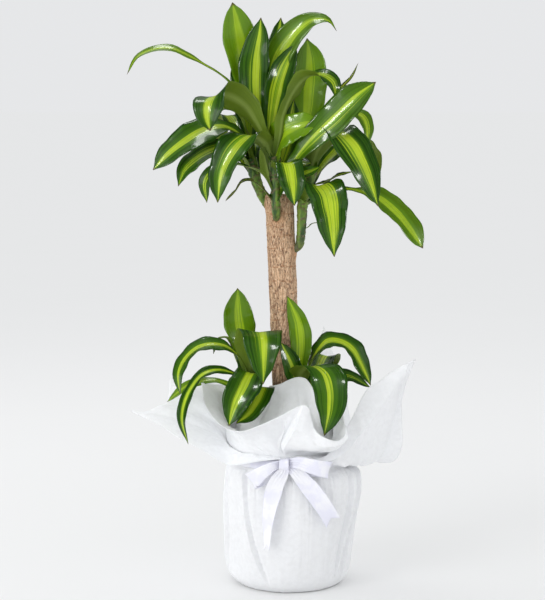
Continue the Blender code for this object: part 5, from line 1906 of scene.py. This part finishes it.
def floor(settings):
    """A floor that runs out of sight, and meets the surroundings without a line."""
    made, tree = new_material("pale_floor", settings.floor)
    cloud = mottle(tree, object_place(tree), 3.0)["Cloud"]
    colour = blend(tree, cloud, dimmed(settings.floor, 0.99), settings.floor)
    feed(tree, {"Base Color": colour, "Roughness": 0.9, "Specular IOR Level": 0.0})
    points = [(FLOOR_R * cosine, FLOOR_R * sine, 0) for _, cosine, sine in compass(FLOOR_SIDES)]
    mesh_object("floor", points, [range(FLOOR_SIDES)], [made])


def world(settings):
    """An even pale room: as bright to the eye as the floor far away, so that the two join softly."""
    made = bpy.data.worlds.new("pale_room")
    made.use_nodes = True
    tree = made.node_tree
    room = tree.nodes["Background"]
    path = put(tree, "ShaderNodeLightPath").outputs
    seen = times(tree, path["Is Camera Ray"], 1 - settings.floor[1])
    mirrored = times(tree, path["Is Glossy Ray"], ROOM_UNMIRRORED)
    dimmer = maths(tree, "SUBTRACT", maths(tree, "SUBTRACT", 1.0, seen), mirrored)
    set_or_link(tree, room.inputs["Color"], (*ROOM_COLOUR, 1))
    set_or_link(tree, room.inputs["Strength"], times(tree, dimmer, settings.room))
    bpy.context.scene.world = made


def soft_light(spec, power, only_shines=False):
    """A soft light like a window, that faces its target."""
    light = bpy.data.lights.new(spec.name, "AREA")
    light.shape = "RECTANGLE"
    light.size, light.size_y = spec.size
    light.energy = power
    obj = bpy.data.objects.new(spec.name, light)
    obj.location = spec.place
    facing = Vector(spec.target) - Vector(spec.place)
    obj.rotation_euler = facing.to_track_quat("-Z", "Y").to_euler()
    obj.visible_diffuse = not only_shines
    bpy.context.scene.collection.objects.link(obj)


def camera(scene):
    """The camera, in front of the bow and looking a little down."""
    data = bpy.data.cameras.new("camera")
    data.sensor_width = SENSOR_MM
    data.lens = FOCAL_PIXELS / LONG_SIDE_PIXELS * SENSOR_MM
    obj = bpy.data.objects.new("camera", data)
    obj.location = CAMERA_PLACE
    obj.rotation_euler = (math.pi / 2 - CAMERA_TILT, 0, 0)
    scene.collection.objects.link(obj)
    scene.camera = obj
    scene.view_settings.view_transform = "Standard"


SETTINGS = {
    "corn_leaves": LeafSettings,
    "corn_bark": BarkSettings,
    "corn_wrap": WrapSettings,
    "corn_soil": SoilSettings,
    "corn_stage": StageSettings,
}
OPERATORS = (CORNPLANT_OT_pot, CORNPLANT_OT_cane, CORNPLANT_OT_shoots, CORNPLANT_OT_sheets,
             CORNPLANT_OT_ribbon, CORNPLANT_OT_stage)


class CORNPLANT_PT_sidebar(bpy.types.Panel):
    bl_label = "Corn Plant"
    bl_idname = "CORNPLANT_PT_sidebar"
    bl_space_type = "VIEW_3D"
    bl_region_type = "UI"
    bl_category = "Corn Plant"

    def draw(self, context):
        for operator in OPERATORS:
            self.layout.operator(operator.bl_idname)
        for name, group in SETTINGS.items():
            box = self.layout.box()
            box.label(text=group.__doc__)
            for key in group.__annotations__:
                box.prop(getattr(context.scene, name), key)


def register():
    for group in SETTINGS.values():
        bpy.utils.register_class(group)
    for operator in OPERATORS + (CORNPLANT_PT_sidebar,):
        bpy.utils.register_class(operator)
    for name, group in SETTINGS.items():
        setattr(bpy.types.Scene, name, bpy.props.PointerProperty(type=group))


def unregister():
    for name in SETTINGS:
        delattr(bpy.types.Scene, name)
    for operator in OPERATORS + (CORNPLANT_PT_sidebar,):
        bpy.utils.unregister_class(operator)
    for group in SETTINGS.values():
        bpy.utils.unregister_class(group)


def main():
    register()
    for operator in OPERATORS:
        family, action = operator.bl_idname.split(".")
        getattr(getattr(bpy.ops, family), action)()


if __name__ == "__main__":
    main()
